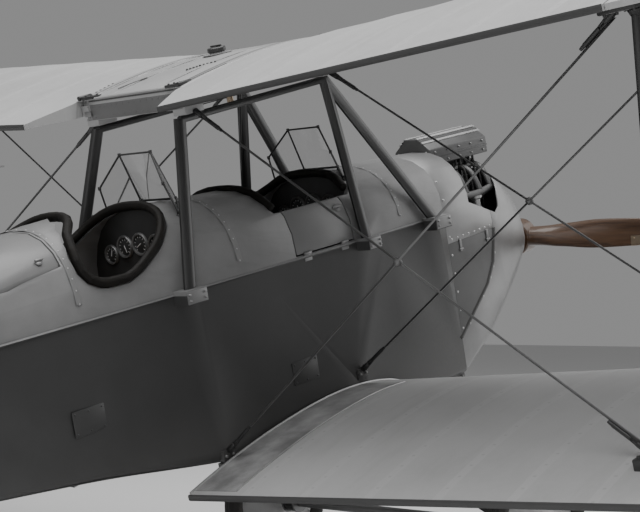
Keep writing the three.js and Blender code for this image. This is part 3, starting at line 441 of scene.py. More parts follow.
def soften(piece: Piece, width: float, segments: int = 2, angle: float = 35.0) -> Piece:
    """Rounds the hard edges of a piece with an applied bevel.

    Args:
        piece: The piece.
        width: Width of the bevel.
        segments: Its segments.
        angle: Least angle between two faces, in degrees, that is rounded.

    Returns:
        The piece.
    """
    modifier = piece.modifiers.new("Rounding", "BEVEL")
    modifier.width = width
    modifier.segments = segments
    modifier.limit_method = "ANGLE"
    modifier.angle_limit = math.radians(angle)
    modifier.use_clamp_overlap = True
    apply_modifiers(piece)
    return piece


def smooth(piece: Piece, angle: float = 40.0) -> Piece:
    """Shades a piece smooth up to an angle between faces.

    Args:
        piece: The piece.
        angle: Greatest angle in degrees that looks round.

    Returns:
        The piece.
    """
    take(piece)
    bpy.ops.object.shade_smooth_by_angle(angle=math.radians(angle))
    return piece


def outward(piece: Piece, merge: float = 1e-5) -> Piece:
    """Merges doubles and turns every face outwards.

    Args:
        piece: The piece.
        merge: Distance under which two corners are one.

    Returns:
        The piece.
    """
    with editing(piece):
        bpy.ops.mesh.remove_doubles(threshold=merge)
        bpy.ops.mesh.normals_make_consistent(inside=False)
    return piece


def mirrored(piece: Piece) -> Piece:
    """Mirrors a piece across the middle of the aeroplane and turns its faces outwards again.

    Args:
        piece: The piece.

    Returns:
        The piece.
    """
    piece.data.transform(Matrix.Scale(-1, 4, (1, 0, 0)))
    with editing(piece):
        bpy.ops.mesh.flip_normals()
    return piece


def settle(piece: Piece, matrix: Matrix = PARK) -> Piece:
    """Takes a piece's own place and a frame's matrix into its mesh and leaves it at the origin.

    Args:
        piece: The piece.
        matrix: Matrix from the frame that it was made in.

    Returns:
        The piece.
    """
    take(piece)
    bpy.context.view_layer.update()
    piece.data.transform(matrix @ piece.matrix_world)
    piece.matrix_world = Matrix.Identity(4)
    piece.data.update()
    return piece


def join(parts: Sequence[Piece], name: str) -> Piece:
    """Joins parts into the first one under a new name.

    Args:
        parts: The parts.
        name: Name of the joined piece.

    Returns:
        The joined piece.
    """
    take(parts[0])
    for part in parts[1:]:
        part.select_set(True)
    if len(parts) > 1:
        bpy.ops.object.join()
    parts[0].name = name
    parts[0].data.name = name
    return parts[0]


def box(name: str, low: Place, high: Place, rounding: float = 0.002) -> Piece:
    """A rectangular block between two corners, its edges rounded.

    Args:
        name: Name of the piece.
        low: Its lowest corner.
        high: Its highest corner.
        rounding: Width of the rounded edges.

    Returns:
        The block.
    """
    clear_selection()
    middle = [(a + b) / 2 for a, b in zip(low, high)]
    bpy.ops.mesh.primitive_cube_add(size=1.0, location=middle)
    piece = bpy.context.object
    piece.scale = [abs(b - a) for a, b in zip(low, high)]
    bpy.ops.object.transform_apply(location=True, rotation=False, scale=True)
    piece.name = name
    soften(piece, rounding)
    return smooth(piece)


def rod(name: str, a: Sequence[float], b: Sequence[float], radius: float, sides: int = 12,
        tip: float | None = None, rounding: float = 0.0008) -> Piece:
    """A round bar or cone between two points, the rims of its ends rounded.

    Args:
        name: Name of the piece.
        a: Middle of one end.
        b: Middle of the other.
        radius: Radius at a.
        sides: Number of sides.
        tip: Radius at b where it differs.
        rounding: Width of the rounded rims.

    Returns:
        The bar.
    """
    clear_selection()
    start, end = Vector(a), Vector(b)
    axis = end - start
    bpy.ops.mesh.primitive_cone_add(vertices=sides, radius1=radius, radius2=radius if tip is None else tip,
        depth=axis.length)
    piece = bpy.context.object
    turn = axis.to_track_quat("Z", "Y").to_matrix().to_4x4()
    piece.data.transform(Matrix.Translation((start + end) / 2) @ turn)
    piece.name = name
    if rounding:
        soften(piece, rounding, 1, 50)
    return smooth(piece, 50)


def tube(name: str, points: Iterable[Sequence[float]], radius: float, sides: int = 8,
        closed: bool = False) -> Piece:
    """A pipe or wire along a smooth path, made a mesh.

    Args:
        name: Name of the piece.
        points: Places that the path follows.
        radius: Its radius.
        sides: Number of sides.
        closed: Whether the path ends where it starts.

    Returns:
        The pipe.
    """
    clear_selection()
    curve = bpy.data.curves.new(name, "CURVE")
    curve.dimensions = "3D"
    curve.bevel_depth = radius
    curve.bevel_resolution = max(0, sides // 4 - 1)
    curve.resolution_u = 6
    curve.use_fill_caps = True
    places = list(points)
    line = curve.splines.new("POLY" if len(places) == 2 else "NURBS")
    line.points.add(len(places) - 1)
    for point, place in zip(line.points, places):
        point.co = (*place, 1.0)
    if len(places) > 2:
        line.order_u = 3
        line.use_endpoint_u = not closed
        line.use_cyclic_u = closed
    piece = bpy.data.objects.new(name, curve)
    bpy.context.scene.collection.objects.link(piece)
    take(piece)
    bpy.ops.object.convert(target="MESH")
    piece = outward(bpy.context.object)
    return smooth(piece, 50)


def turned(name: str, profile: Sequence[tuple[float, float]], a: Sequence[float], b: Sequence[float],
        steps: int = 24) -> Piece:
    """A lathe shape: pairs of radius and distance from a, spun about the line from a to b.

    Args:
        name: Name of the piece.
        profile: Pairs of radius and distance.
        a: Foot of the axis.
        b: A further place on the axis.
        steps: Number of sides.

    Returns:
        The closed shape.
    """
    clear_selection()
    mesh = bpy.data.meshes.new(name)
    mesh.from_pydata([(r, 0.0, h) for r, h in profile], [(i, i + 1) for i in range(len(profile) - 1)], [])
    piece = bpy.data.objects.new(name, mesh)
    bpy.context.scene.collection.objects.link(piece)
    with editing(piece):
        bpy.ops.mesh.spin(steps=steps, angle=math.tau, center=(0, 0, 0), axis=(0, 0, 1))
    outward(piece)
    start, end = Vector(a), Vector(b)
    turn = (end - start).to_track_quat("Z", "Y").to_matrix().to_4x4()
    piece.data.transform(Matrix.Translation(start) @ turn)
    return smooth(piece, 35)


def lofted(name: str, rings: Sequence[Sequence[Place]], angle: float = 40.0) -> Piece:
    """A grid laid through rings of equal counts, closed round each ring and filled at its ends.

    Args:
        name: Name of the piece.
        rings: The rings, each a list of places.
        angle: Angle in degrees up to which it is shaded smooth.

    Returns:
        The closed shape.
    """
    clear_selection()
    rows, columns = len(rings) - 1, len(rings[0])
    bpy.ops.mesh.primitive_grid_add(x_subdivisions=rows, y_subdivisions=columns, size=2.0)
    piece = bpy.context.object
    piece.name = name
    for vertex in piece.data.vertices:
        row = round((vertex.co.x + 1) / 2 * rows)
        column = round((vertex.co.y + 1) / 2 * columns) % columns
        vertex.co = rings[row][column]
    with editing(piece):
        bpy.ops.mesh.select_mode(type="VERT")
        bpy.ops.mesh.select_all(action="SELECT")
        bpy.ops.mesh.remove_doubles(threshold=1e-6)
        bpy.ops.mesh.select_all(action="DESELECT")
        bpy.ops.mesh.select_non_manifold(extend=False, use_wire=False, use_multi_face=False,
            use_non_contiguous=False, use_verts=False)
        bpy.ops.mesh.fill_holes(sides=0)
        bpy.ops.mesh.select_all(action="SELECT")
        bpy.ops.mesh.normals_make_consistent(inside=False)
    return smooth(piece, angle)


def copies(model: Piece, places: Iterable[Matrix]) -> list[Piece]:
    """Copies of one modelled thing, each with its own mesh, at matrices; the model itself goes.

    Args:
        model: The modelled thing.
        places: One matrix for each copy.

    Returns:
        The copies.
    """
    made = []
    for matrix in places:
        copy = model.copy()
        copy.data = model.data.copy()
        copy.data.transform(matrix)
        bpy.context.scene.collection.objects.link(copy)
        made.append(copy)
    bpy.data.objects.remove(model)
    return made


def facing(place: Sequence[float], direction: Sequence[float]) -> Matrix:
    """Matrix that stands local Z at a place along a direction."""
    turn = Vector(direction).to_track_quat("Z", "Y").to_matrix().to_4x4()
    return Matrix.Translation(place) @ turn


def studs(name: str, places: Sequence[tuple[Sequence[float], Sequence[float]]], radius: float,
        height: float, sides: int = 8) -> Piece:
    """Like fasteners, each at a place and facing a direction, modelled once and copied.

    Args:
        name: Name of the piece.
        places: Pairs of place and direction.
        radius: Radius of a head.
        height: How far it stands proud and is sunk.
        sides: Number of sides.

    Returns:
        The joined fasteners.
    """
    head = rod("head", (0, 0, -height), (0, 0, height), radius, sides, radius * 0.72, radius * 0.18)
    return join(copies(head, [facing(place, way) for place, way in places]), name)


def stay(a: Vector, b: Vector, radius: float, end: tuple[float, float, float, float],
        sides: int = 10) -> list[Piece]:
    """A taut wire between two places with a tapered end fitting at each.

    Args:
        a: One end of the wire.
        b: Its other end.
        radius: The wire's radius.
        end: The fitting's reach behind the wire's end, its reach along the wire and its two radii.
        sides: Sides of the fittings.

    Returns:
        The wire and its two fittings.
    """
    behind, along, thick, thin = end
    parts = [tube("wire", [a, b], radius)]
    for near, far in ((a, b), (b, a)):
        way = (far - near).normalized()
        parts.append(rod("end", near - way * behind, near + way * along, thick, sides, thin))
    return parts


def strip_along(name: str, points: Sequence[Sequence[float]], normals: Sequence[Vector], width: float,
        thick: float) -> Piece:
    """A flat strip along points, lying on a surface whose normals are given.

    Args:
        name: Name of the piece.
        points: Places on the surface.
        normals: Its normal at each.
        width: Width of the strip.
        thick: Its thickness.

    Returns:
        The closed strip.
    """
    rings = []
    for i, (point, normal) in enumerate(zip(points, normals)):
        ahead = Vector(points[min(i + 1, len(points) - 1)]) - Vector(points[max(i - 1, 0)])
        sideways = ahead.cross(Vector(normal)).normalized() * width / 2
        low, high = Vector(point) - Vector(normal) * thick * 0.3, Vector(point) + Vector(normal) * thick
        rings.append([tuple(low - sideways), tuple(high - sideways * 0.86), tuple(high + sideways * 0.86),
            tuple(low + sideways)])
    return lofted(name, rings, 30)


def puffed(piece: Piece, voxel: float, pressure: float, cap: float, frames: int = 20) -> Piece:
    """Swells a closed pad with a cloth simulation, each point moved no further than a cap.

    Args:
        piece: The closed pad, a little smaller than it will be.
        voxel: Voxel size of the remesh before the simulation.
        pressure: Air pressure inside.
        cap: The furthest that a point may move.
        frames: Frames of simulation.

    Returns:
        The piece, its simulation applied and its surface subdivided once.
    """
    take(piece)
    piece.data.remesh_voxel_size = voxel
    bpy.ops.object.voxel_remesh()
    before = [vertex.co.copy() for vertex in piece.data.vertices]
    cloth = piece.modifiers.new("Padding", "CLOTH")
    cloth.settings.use_pressure = True
    cloth.settings.uniform_pressure_force = pressure
    cloth.settings.effector_weights.gravity = 0.0
    cloth.point_cache.frame_start = 1
    cloth.point_cache.frame_end = frames
    for number in range(1, frames + 1):
        bpy.context.scene.frame_set(number)
    apply_modifiers(piece)
    for vertex, start in zip(piece.data.vertices, before):
        step = vertex.co - start
        if step.length > cap:
            vertex.co = start + step * (cap / step.length)
    bpy.context.scene.frame_set(1)
    finer = piece.modifiers.new("Finer", "SUBSURF")
    finer.levels = finer.render_levels = 1
    apply_modifiers(piece)
    return smooth(piece, 60)


# Finishes


def grey(tone: float, warmth: float = 0.0) -> Colour:
    """A near-neutral colour of one tone, a little warm or cool."""
    return (tone * (1 + warmth), tone, tone * (1 - warmth), 1.0)


class Graph:
    """A material's node tree, built by short calls."""

    def __init__(self, name: str) -> None:
        """Makes the material with a fresh Principled shader.

        Args:
            name: Name of the material.
        """
        self.material = bpy.data.materials.new(name)
        self.material.use_nodes = True
        self.tree = self.material.node_tree
        self.tree.nodes.clear()
        self.shader = self.tree.nodes.new("ShaderNodeBsdfPrincipled")
        output = self.tree.nodes.new("ShaderNodeOutputMaterial")
        self.tree.links.new(self.shader.outputs[0], output.inputs["Surface"])
        self.coordinates = self.tree.nodes.new("ShaderNodeTexCoord").outputs["Object"]

    def node(self, kind: str, **settings: object) -> bpy.types.Node:
        """Adds a node and sets its properties.

        Args:
            kind: The node's type.
            **settings: Its properties.

        Returns:
            The node.
        """
        made = self.tree.nodes.new(kind)
        for key, value in settings.items():
            setattr(made, key, value)
        return made

    def put(self, socket: Socket, value: object) -> None:
        """Links a socket or sets its number or colour.

        Args:
            socket: The socket.
            value: Another socket, a number or a colour.
        """
        if isinstance(value, bpy.types.NodeSocket):
            self.tree.links.new(value, socket)
        else:
            socket.default_value = value

    def math(self, operation: str, a: object, b: object = 0.0, c: object = 0.0) -> Socket:
        """A Math node's result.

        Args:
            operation: Name of the operation.
            a: First value.
            b: Second value.
            c: Third value.

        Returns:
            The result.
        """
        made = self.node("ShaderNodeMath", operation=operation)
        for socket, value in zip(made.inputs, (a, b, c)):
            self.put(socket, value)
        return made.outputs[0]

    def sum(self, start: float, *terms: tuple[Socket, float]) -> Socket:
        """A number plus weighted sockets.

        Args:
            start: The number.
            *terms: Pairs of socket and weight.

        Returns:
            The sum.
        """
        total: object = start
        for value, weight in terms:
            total = self.math("MULTIPLY_ADD", value, weight, total)
        return total

    def band(self, value: object, low: float, high: float, soft: float) -> Socket:
        """One between two values and nothing outside them, with a soft edge.

        Args:
            value: The value.
            low: Lower limit.
            high: Upper limit.
            soft: Width of the edge.

        Returns:
            The mask.
        """
        edges = []
        for middle in (low, high):
            step = self.node("ShaderNodeMapRange", interpolation_type="SMOOTHSTEP")
            self.put(step.inputs[0], value)
            step.inputs[1].default_value = middle - soft
            step.inputs[2].default_value = middle + soft
            edges.append(step.outputs[0])
        return self.math("SUBTRACT", edges[0], edges[1])

    def flying(self) -> Socket:
        """Object coordinates turned back into the flying attitude, from the same origin as the body."""
        mapping = self.node("ShaderNodeMapping", vector_type="TEXTURE")
        self.put(mapping.inputs["Vector"], self.coordinates)
        mapping.inputs["Location"].default_value = PARK.to_translation()
        mapping.inputs["Rotation"].default_value = (-PARK_ANGLE, 0.0, 0.0)
        return mapping.outputs[0]

    def scaled(self, scale: Place, source: Socket | None = None) -> Socket:
        """Coordinates stretched by a scale, for grain and brushing.

        Args:
            scale: Scale along each axis.
            source: The coordinates, or the piece's own.

        Returns:
            The stretched coordinates.
        """
        mapping = self.node("ShaderNodeMapping")
        self.put(mapping.inputs["Vector"], source or self.coordinates)
        mapping.inputs["Scale"].default_value = scale
        return mapping.outputs[0]

    def axes(self, source: Socket) -> list[Socket]:
        """The three coordinates one by one.

        Args:
            source: The coordinates.

        Returns:
            One socket for each axis.
        """
        split = self.node("ShaderNodeSeparateXYZ")
        self.put(split.inputs[0], source)
        return list(split.outputs)

    def noise(self, scale: float, detail: float = 4.0, rough: float = 0.55,
            source: Socket | None = None) -> Socket:
        """A noise value.

        Args:
            scale: Its scale.
            detail: Its octaves.
            rough: Weight of the finer ones.
            source: The coordinates, or the piece's own.

        Returns:
            The value.
        """
        made = self.node("ShaderNodeTexNoise")
        self.put(made.inputs["Vector"], source or self.coordinates)
        made.inputs["Scale"].default_value = scale
        made.inputs["Detail"].default_value = detail
        made.inputs["Roughness"].default_value = rough
        return made.outputs["Fac"]

    def ramp(self, value: Socket, stops: Sequence[tuple[float, Sequence[float]]]) -> Socket:
        """A colour ramp through stops.

        Args:
            value: Place on the ramp.
            stops: Pairs of place and colour.

        Returns:
            The colour.
        """
        made = self.node("ShaderNodeValToRGB")
        ramp = made.color_ramp
        while len(ramp.elements) < len(stops):
            ramp.elements.new(0.5)
        for element, (place, colour) in zip(ramp.elements, stops):
            element.position = place
            element.color = (*colour[:3], 1.0)
        self.put(made.inputs[0], value)
        return made.outputs[0]

    def mix(self, part: object, a: object, b: object) -> Socket:
        """A mix of two colours.

        Args:
            part: Share of the second colour.
            a: First colour.
            b: Second colour.

        Returns:
            The colour.
        """
        made = self.node("ShaderNodeMix", data_type="RGBA")
        self.put(made.inputs[0], part)
        self.put(made.inputs[6], a)
        self.put(made.inputs[7], b)
        return made.outputs[2]

    def bump(self, height: Socket, strength: float, distance: float, under: Socket | None = None) -> Socket:
        """A bump from a height, on top of another bump where one is given.

        Args:
            height: The height.
            strength: Its strength.
            distance: Depth of the relief.
            under: The bump that it lies on.

        Returns:
            The normal.
        """
        made = self.node("ShaderNodeBump")
        made.inputs["Strength"].default_value = strength
        made.inputs["Distance"].default_value = distance
        self.put(made.inputs["Height"], height)
        if under is not None:
            self.put(made.inputs["Normal"], under)
        return made.outputs[0]

    def coat(self, weight: float, rough: float) -> None:
        """A clear coat over the surface."""
        self.shader.inputs["Coat Weight"].default_value = weight
        self.shader.inputs["Coat Roughness"].default_value = rough

    def finish(self, colour: object, roughness: object, metallic: float = 0.0,
            normal: Socket | None = None) -> bpy.types.Material:
        """Sets the shader's sockets and gives the material.

        Args:
            colour: Base colour.
            roughness: Roughness.
            metallic: Share of metal.
            normal: The normal, where it has relief.

        Returns:
            The material.
        """
        self.put(self.shader.inputs["Base Color"], colour)
        self.put(self.shader.inputs["Roughness"], roughness)
        self.shader.inputs["Metallic"].default_value = metallic
        if normal is not None:
            self.put(self.shader.inputs["Normal"], normal)
        return self.material


@dataclass(frozen=True)
class Fabric:
    """Doped fabric with pinked tapes and stitches over the ribs."""

    name: str
    tone: float = 0.6
    rib_axis: int = 0
    pitch: float = RIB_PITCH
    offset: float = 0.0
    tape: float = 0.021
    upright: bool = False

    def material(self) -> bpy.types.Material:
        """Builds the material."""
        g = Graph(self.name)
        axes = g.axes(g.flying() if self.upright else g.coordinates)
        along, chordwise = axes[self.rib_axis], axes[1]
        shifted = g.math("SUBTRACT", g.math("ABSOLUTE", along), self.offset)
        wave = g.math("PINGPONG", shifted, self.pitch / 2)
        pinking = g.math("MULTIPLY_ADD", g.math("PINGPONG", chordwise, 0.004), 0.7, wave)
        tape = g.math("LESS_THAN", pinking, self.tape)
        dots = g.math("LESS_THAN", g.math("PINGPONG", chordwise, 0.032), 0.004)
        stitch = g.math("MULTIPLY", g.math("LESS_THAN", wave, 0.006), dots)
        broad = g.noise(1.7, 5.0, 0.6)
        fine = g.noise(38.0, 6.0, 0.7)
        base = g.ramp(g.sum(0.0, (broad, 0.7), (fine, 0.3)),
            [(0.3, grey(self.tone * 0.88)), (0.52, grey(self.tone)), (0.72, grey(self.tone * 1.08))])
        runs = g.noise(2.2, 6.0, 0.65, g.scaled((3.5, 0.5, 1.0)))
        base = g.mix(g.math("MULTIPLY", g.band(runs, 0.56, 2.0, 0.07), 0.14), base,
            grey(self.tone * 0.6, 0.03))
        colour = g.mix(g.math("MULTIPLY", tape, 0.4), base, grey(min(0.9, self.tone * 1.14)))
        colour = g.mix(g.math("MULTIPLY", stitch, 0.5), colour, grey(self.tone * 0.7))
        weave = g.node("ShaderNodeTexWave", wave_type="BANDS", bands_direction="DIAGONAL")
        g.put(weave.inputs["Vector"], g.coordinates)
        weave.inputs["Scale"].default_value = 420.0
        under = g.bump(weave.outputs["Fac"], 0.12, 0.0003)
        normal = g.bump(g.sum(0.0, (tape, 0.6), (stitch, 0.6)), 0.4, 0.0014, under)
        return g.finish(colour, g.sum(0.38, (fine, 0.22)), 0.15, normal)


@dataclass(frozen=True)
class Enamel:
    """Brushed-on or sprayed enamel over wood or metal."""

    name: str
    tone: float
    warmth: float = 0.0
    rough: float = 0.34
    worn: float = 0.25
    coat: float = 0.25

    def material(self) -> bpy.types.Material:
        """Builds the material."""
        g = Graph(self.name)
        broad = g.noise(3.1, 6.0, 0.62)
        fine = g.noise(90.0, 4.0, 0.6)
        base = g.ramp(broad, [(0.32, grey(self.tone * (1 - 0.35 * self.worn), self.warmth)),
            (0.55, grey(self.tone, self.warmth)),
            (0.74, grey(self.tone * (1 + 0.3 * self.worn), self.warmth))])
        chips = g.band(g.noise(26.0, 8.0, 0.75), 0.7, 1.2, 0.02)
        colour = g.mix(g.math("MULTIPLY", chips, self.worn), base, grey(min(0.8, self.tone * 1.9 + 0.05)))
        g.coat(self.coat, 0.22)
        return g.finish(colour, g.sum(self.rough, (g.noise(11.0, 5.0), 0.16)), 0.0, g.bump(fine, 0.1, 0.0006))


@dataclass(frozen=True)
class BodyPaint:
    """The fuselage: dark sides below the upper longeron and grey-silver decking above it."""

    name: str
    dark: float = 0.034
    light: float = 0.17
    edge: float = 0.652

    def material(self) -> bpy.types.Material:
        """Builds the material."""
        g = Graph(self.name)
        frame = g.flying()
        z = g.axes(frame)[2]
        above = g.band(z, self.edge, 9.0, 0.0012)
        broad = g.noise(2.4, 6.0, 0.6)
        fine = g.noise(70.0, 5.0, 0.65)
        side = g.ramp(broad, [(0.3, grey(self.dark * 0.82)), (0.55, grey(self.dark)),
            (0.75, grey(self.dark * 1.3))])
        deck = g.ramp(g.sum(0.0, (broad, 0.6), (g.noise(14.0, 5.0), 0.4)),
            [(0.3, grey(self.light * 0.84)), (0.52, grey(self.light)), (0.72, grey(self.light * 1.12))])
        smear = g.noise(3.0, 5.0, 0.6, g.scaled((6.0, 0.7, 6.0)))
        dusty = g.math("MULTIPLY", g.band(z, -1.0, 0.12, 0.16), 0.14)
        side = g.mix(dusty, side, grey(0.2, 0.03))
        deck = g.mix(g.math("MULTIPLY", g.band(smear, 0.58, 2.0, 0.06), 0.2), deck, grey(self.light * 0.6))
        g.coat(0.15, 0.25)
        return g.finish(g.mix(above, side, deck), g.sum(0.34, (fine, 0.2)), 0.0, g.bump(fine, 0.12, 0.0008))


@dataclass(frozen=True)
class Sheet:
    """Bare or polished sheet metal with a brushed grain."""

    name: str
    tone: float = 0.62
    warmth: float = 0.0
    rough: float = 0.3
    grain: Place = (2.0, 60.0, 60.0)
    metallic: float = 0.9
    stain: float = 0.2

    def material(self) -> bpy.types.Material:
        """Builds the material."""
        g = Graph(self.name)
        brushed = g.noise(9.0, 6.0, 0.7, g.scaled(self.grain))
        broad = g.noise(4.2, 5.0, 0.6)
        base = g.ramp(broad, [(0.3, grey(self.tone * (1 - self.stain), self.warmth)),
            (0.55, grey(self.tone, self.warmth)), (0.75, grey(self.tone * 1.06, self.warmth * 0.6))])
        colour = g.mix(g.math("MULTIPLY", brushed, 0.18), base, grey(self.tone * 0.72, self.warmth))
        normal = g.bump(brushed, 0.1, 0.0004, g.bump(broad, 0.1, 0.004))
        return g.finish(colour, g.sum(self.rough, (brushed, 0.11), (broad, 0.11)), self.metallic, normal)


@dataclass(frozen=True)
class Timber:
    """Varnished wood with a grain along one axis, laminated where a layer is given."""

    name: str
    light: Place = (0.085, 0.044, 0.022)
    dark: Place = (0.028, 0.013, 0.007)
    stretch: Place = (0.6, 9.0, 9.0)
    layers: float = 0.0

    def material(self) -> bpy.types.Material:
        """Builds the material."""
        g = Graph(self.name)
        frame = g.flying()
        grain = g.noise(7.0, 8.0, 0.65, g.scaled(self.stretch, frame))
        middle = tuple((a + b) / 2 for a, b in zip(self.light, self.dark))
        colour = g.ramp(grain, [(0.34, self.dark), (0.5, middle), (0.66, self.light)])
        if self.layers:
            layer = g.math("GREATER_THAN", g.math("PINGPONG", g.axes(frame)[1], self.layers), self.layers / 2)
            colour = g.mix(g.math("MULTIPLY", layer, 0.45), colour, (*self.light, 1.0))
        g.coat(0.6, 0.12)
        return g.finish(colour, g.sum(0.28, (grain, 0.2)), 0.0, g.bump(grain, 0.12, 0.0006))


@dataclass(frozen=True)
class Hide:
    """Padded leather with a pebbled grain and lighter worn patches."""

    name: str
    tone: float = 0.0055
    warmth: float = 0.18

    def material(self) -> bpy.types.Material:
        """Builds the material."""
        g = Graph(self.name)
        cells = g.node("ShaderNodeTexVoronoi", feature="DISTANCE_TO_EDGE")
        g.put(cells.inputs["Vector"], g.coordinates)
        cells.inputs["Scale"].default_value = 420.0
        broad = g.noise(16.0, 6.0, 0.65)
        colour = g.ramp(broad, [(0.3, grey(self.tone * 0.7, self.warmth)),
            (0.55, grey(self.tone, self.warmth)), (0.78, grey(self.tone * 2.6, self.warmth))])
        normal = g.bump(cells.outputs["Distance"], 0.35, 0.0012, g.bump(broad, 0.3, 0.004))
        g.shader.inputs["Specular IOR Level"].default_value = 0.18
        return g.finish(colour, g.sum(0.46, (broad, 0.25)), 0.0, normal)


@dataclass(frozen=True)
class Rubber:
    """Tyre rubber, dusty and a little perished."""

    name: str
    tone: float = 0.035

    def material(self) -> bpy.types.Material:
        """Builds the material."""
        g = Graph(self.name)
        dust = g.noise(9.0, 7.0, 0.7)
        colour = g.ramp(dust, [(0.35, grey(self.tone)), (0.6, grey(self.tone * 1.5, 0.05)),
            (0.8, grey(self.tone * 3.4, 0.08))])
        return g.finish(colour, g.sum(0.62, (dust, 0.25)), 0.0, g.bump(g.noise(160.0, 4.0), 0.2, 0.0008))


@dataclass(frozen=True)
class Pane:
    """Thin clear screen material with faint scratches."""

    name: str

    def material(self) -> bpy.types.Material:
        """Builds the material."""
        g = Graph(self.name)
        scratches = g.noise(60.0, 6.0, 0.8, g.scaled((1.0, 1.0, 14.0)))
        g.shader.inputs["Transmission Weight"].default_value = 1.0
        g.shader.inputs["IOR"].default_value = 1.3
        return g.finish(grey(0.9), g.sum(0.0, (scratches, 0.09)), 0.0)


@dataclass(frozen=True)
class Board:
    """Matt board or grit with a fine crackle."""

    name: str
    tone: float = 0.018
    crackle: float = 220.0
    depth: float = 0.0005

    def material(self) -> bpy.types.Material:
        """Builds the material."""
        g = Graph(self.name)
        worn = g.noise(8.0, 6.0, 0.6)
        colour = g.ramp(worn, [(0.35, grey(self.tone)), (0.75, grey(self.tone * 2.2))])
        normal = g.bump(g.noise(self.crackle, 3.0, 0.6), 0.3, self.depth)
        return g.finish(colour, g.sum(0.45, (worn, 0.2)), 0.0, normal)


@dataclass(frozen=True)
class Webbing:
    """Woven webbing."""

    name: str
    tone: float = 0.22
    warmth: float = 0.12

    def material(self) -> bpy.types.Material:
        """Builds the material."""
        g = Graph(self.name)
        threads = []
        for direction in ("X", "Y"):
            wave = g.node("ShaderNodeTexWave", wave_type="BANDS", bands_direction=direction)
            g.put(wave.inputs["Vector"], g.coordinates)
            wave.inputs["Scale"].default_value = 260.0
            threads.append(wave.outputs["Fac"])
        woven = g.math("MULTIPLY", *threads)
        broad = g.noise(12.0, 6.0, 0.6)
        colour = g.ramp(broad, [(0.3, grey(self.tone * 0.75, self.warmth)),
            (0.7, grey(self.tone * 1.2, self.warmth))])
        colour = g.mix(g.math("MULTIPLY", woven, 0.3), colour, grey(self.tone * 0.6, self.warmth))
        return g.finish(colour, 0.85, 0.0, g.bump(woven, 0.4, 0.0008))


class Palette:
    """Every finish of the aeroplane, each made once, and the record's slot that it belongs to."""

    finishes = {
        "upper_fabric": Fabric("doped_upper_wing_fabric", tone=0.44, offset=Level.UPPER.root),
        "lower_fabric": Fabric("doped_lower_wing_fabric", tone=0.42, offset=Level.LOWER.root),
        "tail_fabric": Fabric("doped_tail_fabric", tone=0.55, pitch=0.24),
        "fin_fabric": Fabric("doped_fin_fabric", tone=0.55, rib_axis=2, pitch=0.17, offset=0.05,
                             upright=True),
        # Dark enamel for small trim and screws, also painted as the shade on the wings' trailing edges and in
        # the tank's and head cover's grooves.
        "edge_tape": Enamel("dark_edge_tape", 0.05, worn=0.2, rough=0.5),
        "body_skin": BodyPaint("fuselage_enamel"),
        "decking": Enamel("silver_decking", 0.17, worn=0.3, rough=0.36),
        "cowling": Sheet("burnished_cowling", tone=0.31, rough=0.34),
        # A darker, rougher copy of the cowling's sheet for the lower side panels, head cover, pipes and lap
        # strips.
        "lower_cowling": Sheet("dulled_cowling", tone=0.145, rough=0.44),
        "tank": Enamel("silver_tank_enamel", 0.34, worn=0.3, rough=0.36),
        # Darker enamel painted as the shade on the tank's rear face and its rivets.
        "tank_face": Enamel("grey_tank_face_enamel", 0.13, worn=0.35, rough=0.45),
        "engine_metal": Enamel("black_engine_enamel", 0.035, worn=0.5, rough=0.42),
        "bare_alloy": Sheet("bare_alloy", tone=0.5, rough=0.34),
        "exhaust_steel": Sheet("heat_stained_steel", tone=0.16, warmth=0.12, rough=0.52, stain=0.5),
        "propeller_wood": Timber("laminated_propeller_wood", layers=0.017),
        "bare_steel": Sheet("bare_steel", tone=0.28, rough=0.38),
        "wire_steel": Sheet("drawn_wire_steel", tone=0.2, rough=0.42, grain=(1.0, 1.0, 1.0)),
        "strut_paint": Enamel("dark_strut_enamel", 0.022, worn=0.35),
        "tyre_rubber": Rubber("tyre_rubber"),
        "wheel_cover": Enamel("silver_wheel_disc", 0.42, worn=0.35),
        "screen": Pane("clear_screen"),
        "coaming_leather": Hide("padded_coaming_leather"),
        "seat_wood": Timber("seat_plywood", light=(0.42, 0.28, 0.15), dark=(0.22, 0.13, 0.06),
                            stretch=(5.0, 1.0, 5.0)),
        "panel_black": Board("black_board"),
        "skid_steel": Sheet("worn_skid_steel", tone=0.24, rough=0.45, stain=0.4),
        "brass": Sheet("brass", tone=0.3, warmth=0.28, rough=0.3),
        # Black rubber, also painted as the shadow in the gap of the cowl's seam.
        "rubber_tube": Rubber("rubber_tube", 0.02),
        "dial_white": Enamel("dial_white", 0.75, worn=0.05, rough=0.4),
        "webbing": Webbing("harness_webbing"),
        "walkway": Board("walkway_grit", 0.17, 90.0, 0.0025),
    }
    slots = {
        "upper_fabric": "wing_fabric", "lower_fabric": "wing_fabric", "fin_fabric": "tail_fabric",
        "edge_tape": "strut_paint", "bare_alloy": "bare_steel", "lower_cowling": "cowling",
        "tank_face": "tank", "brass": "bare_steel",
        "rubber_tube": "tyre_rubber", "dial_white": "panel_black", "webbing": "coaming_leather",
        "walkway": "panel_black",
    }

    def __init__(self) -> None:
        """Builds the materials."""
        self.made = {key: value.material() for key, value in self.finishes.items()}

    def slot(self, finish: str) -> str:
        """The record's slot of a finish."""
        return self.slots.get(finish, finish)


# Sub-assemblies


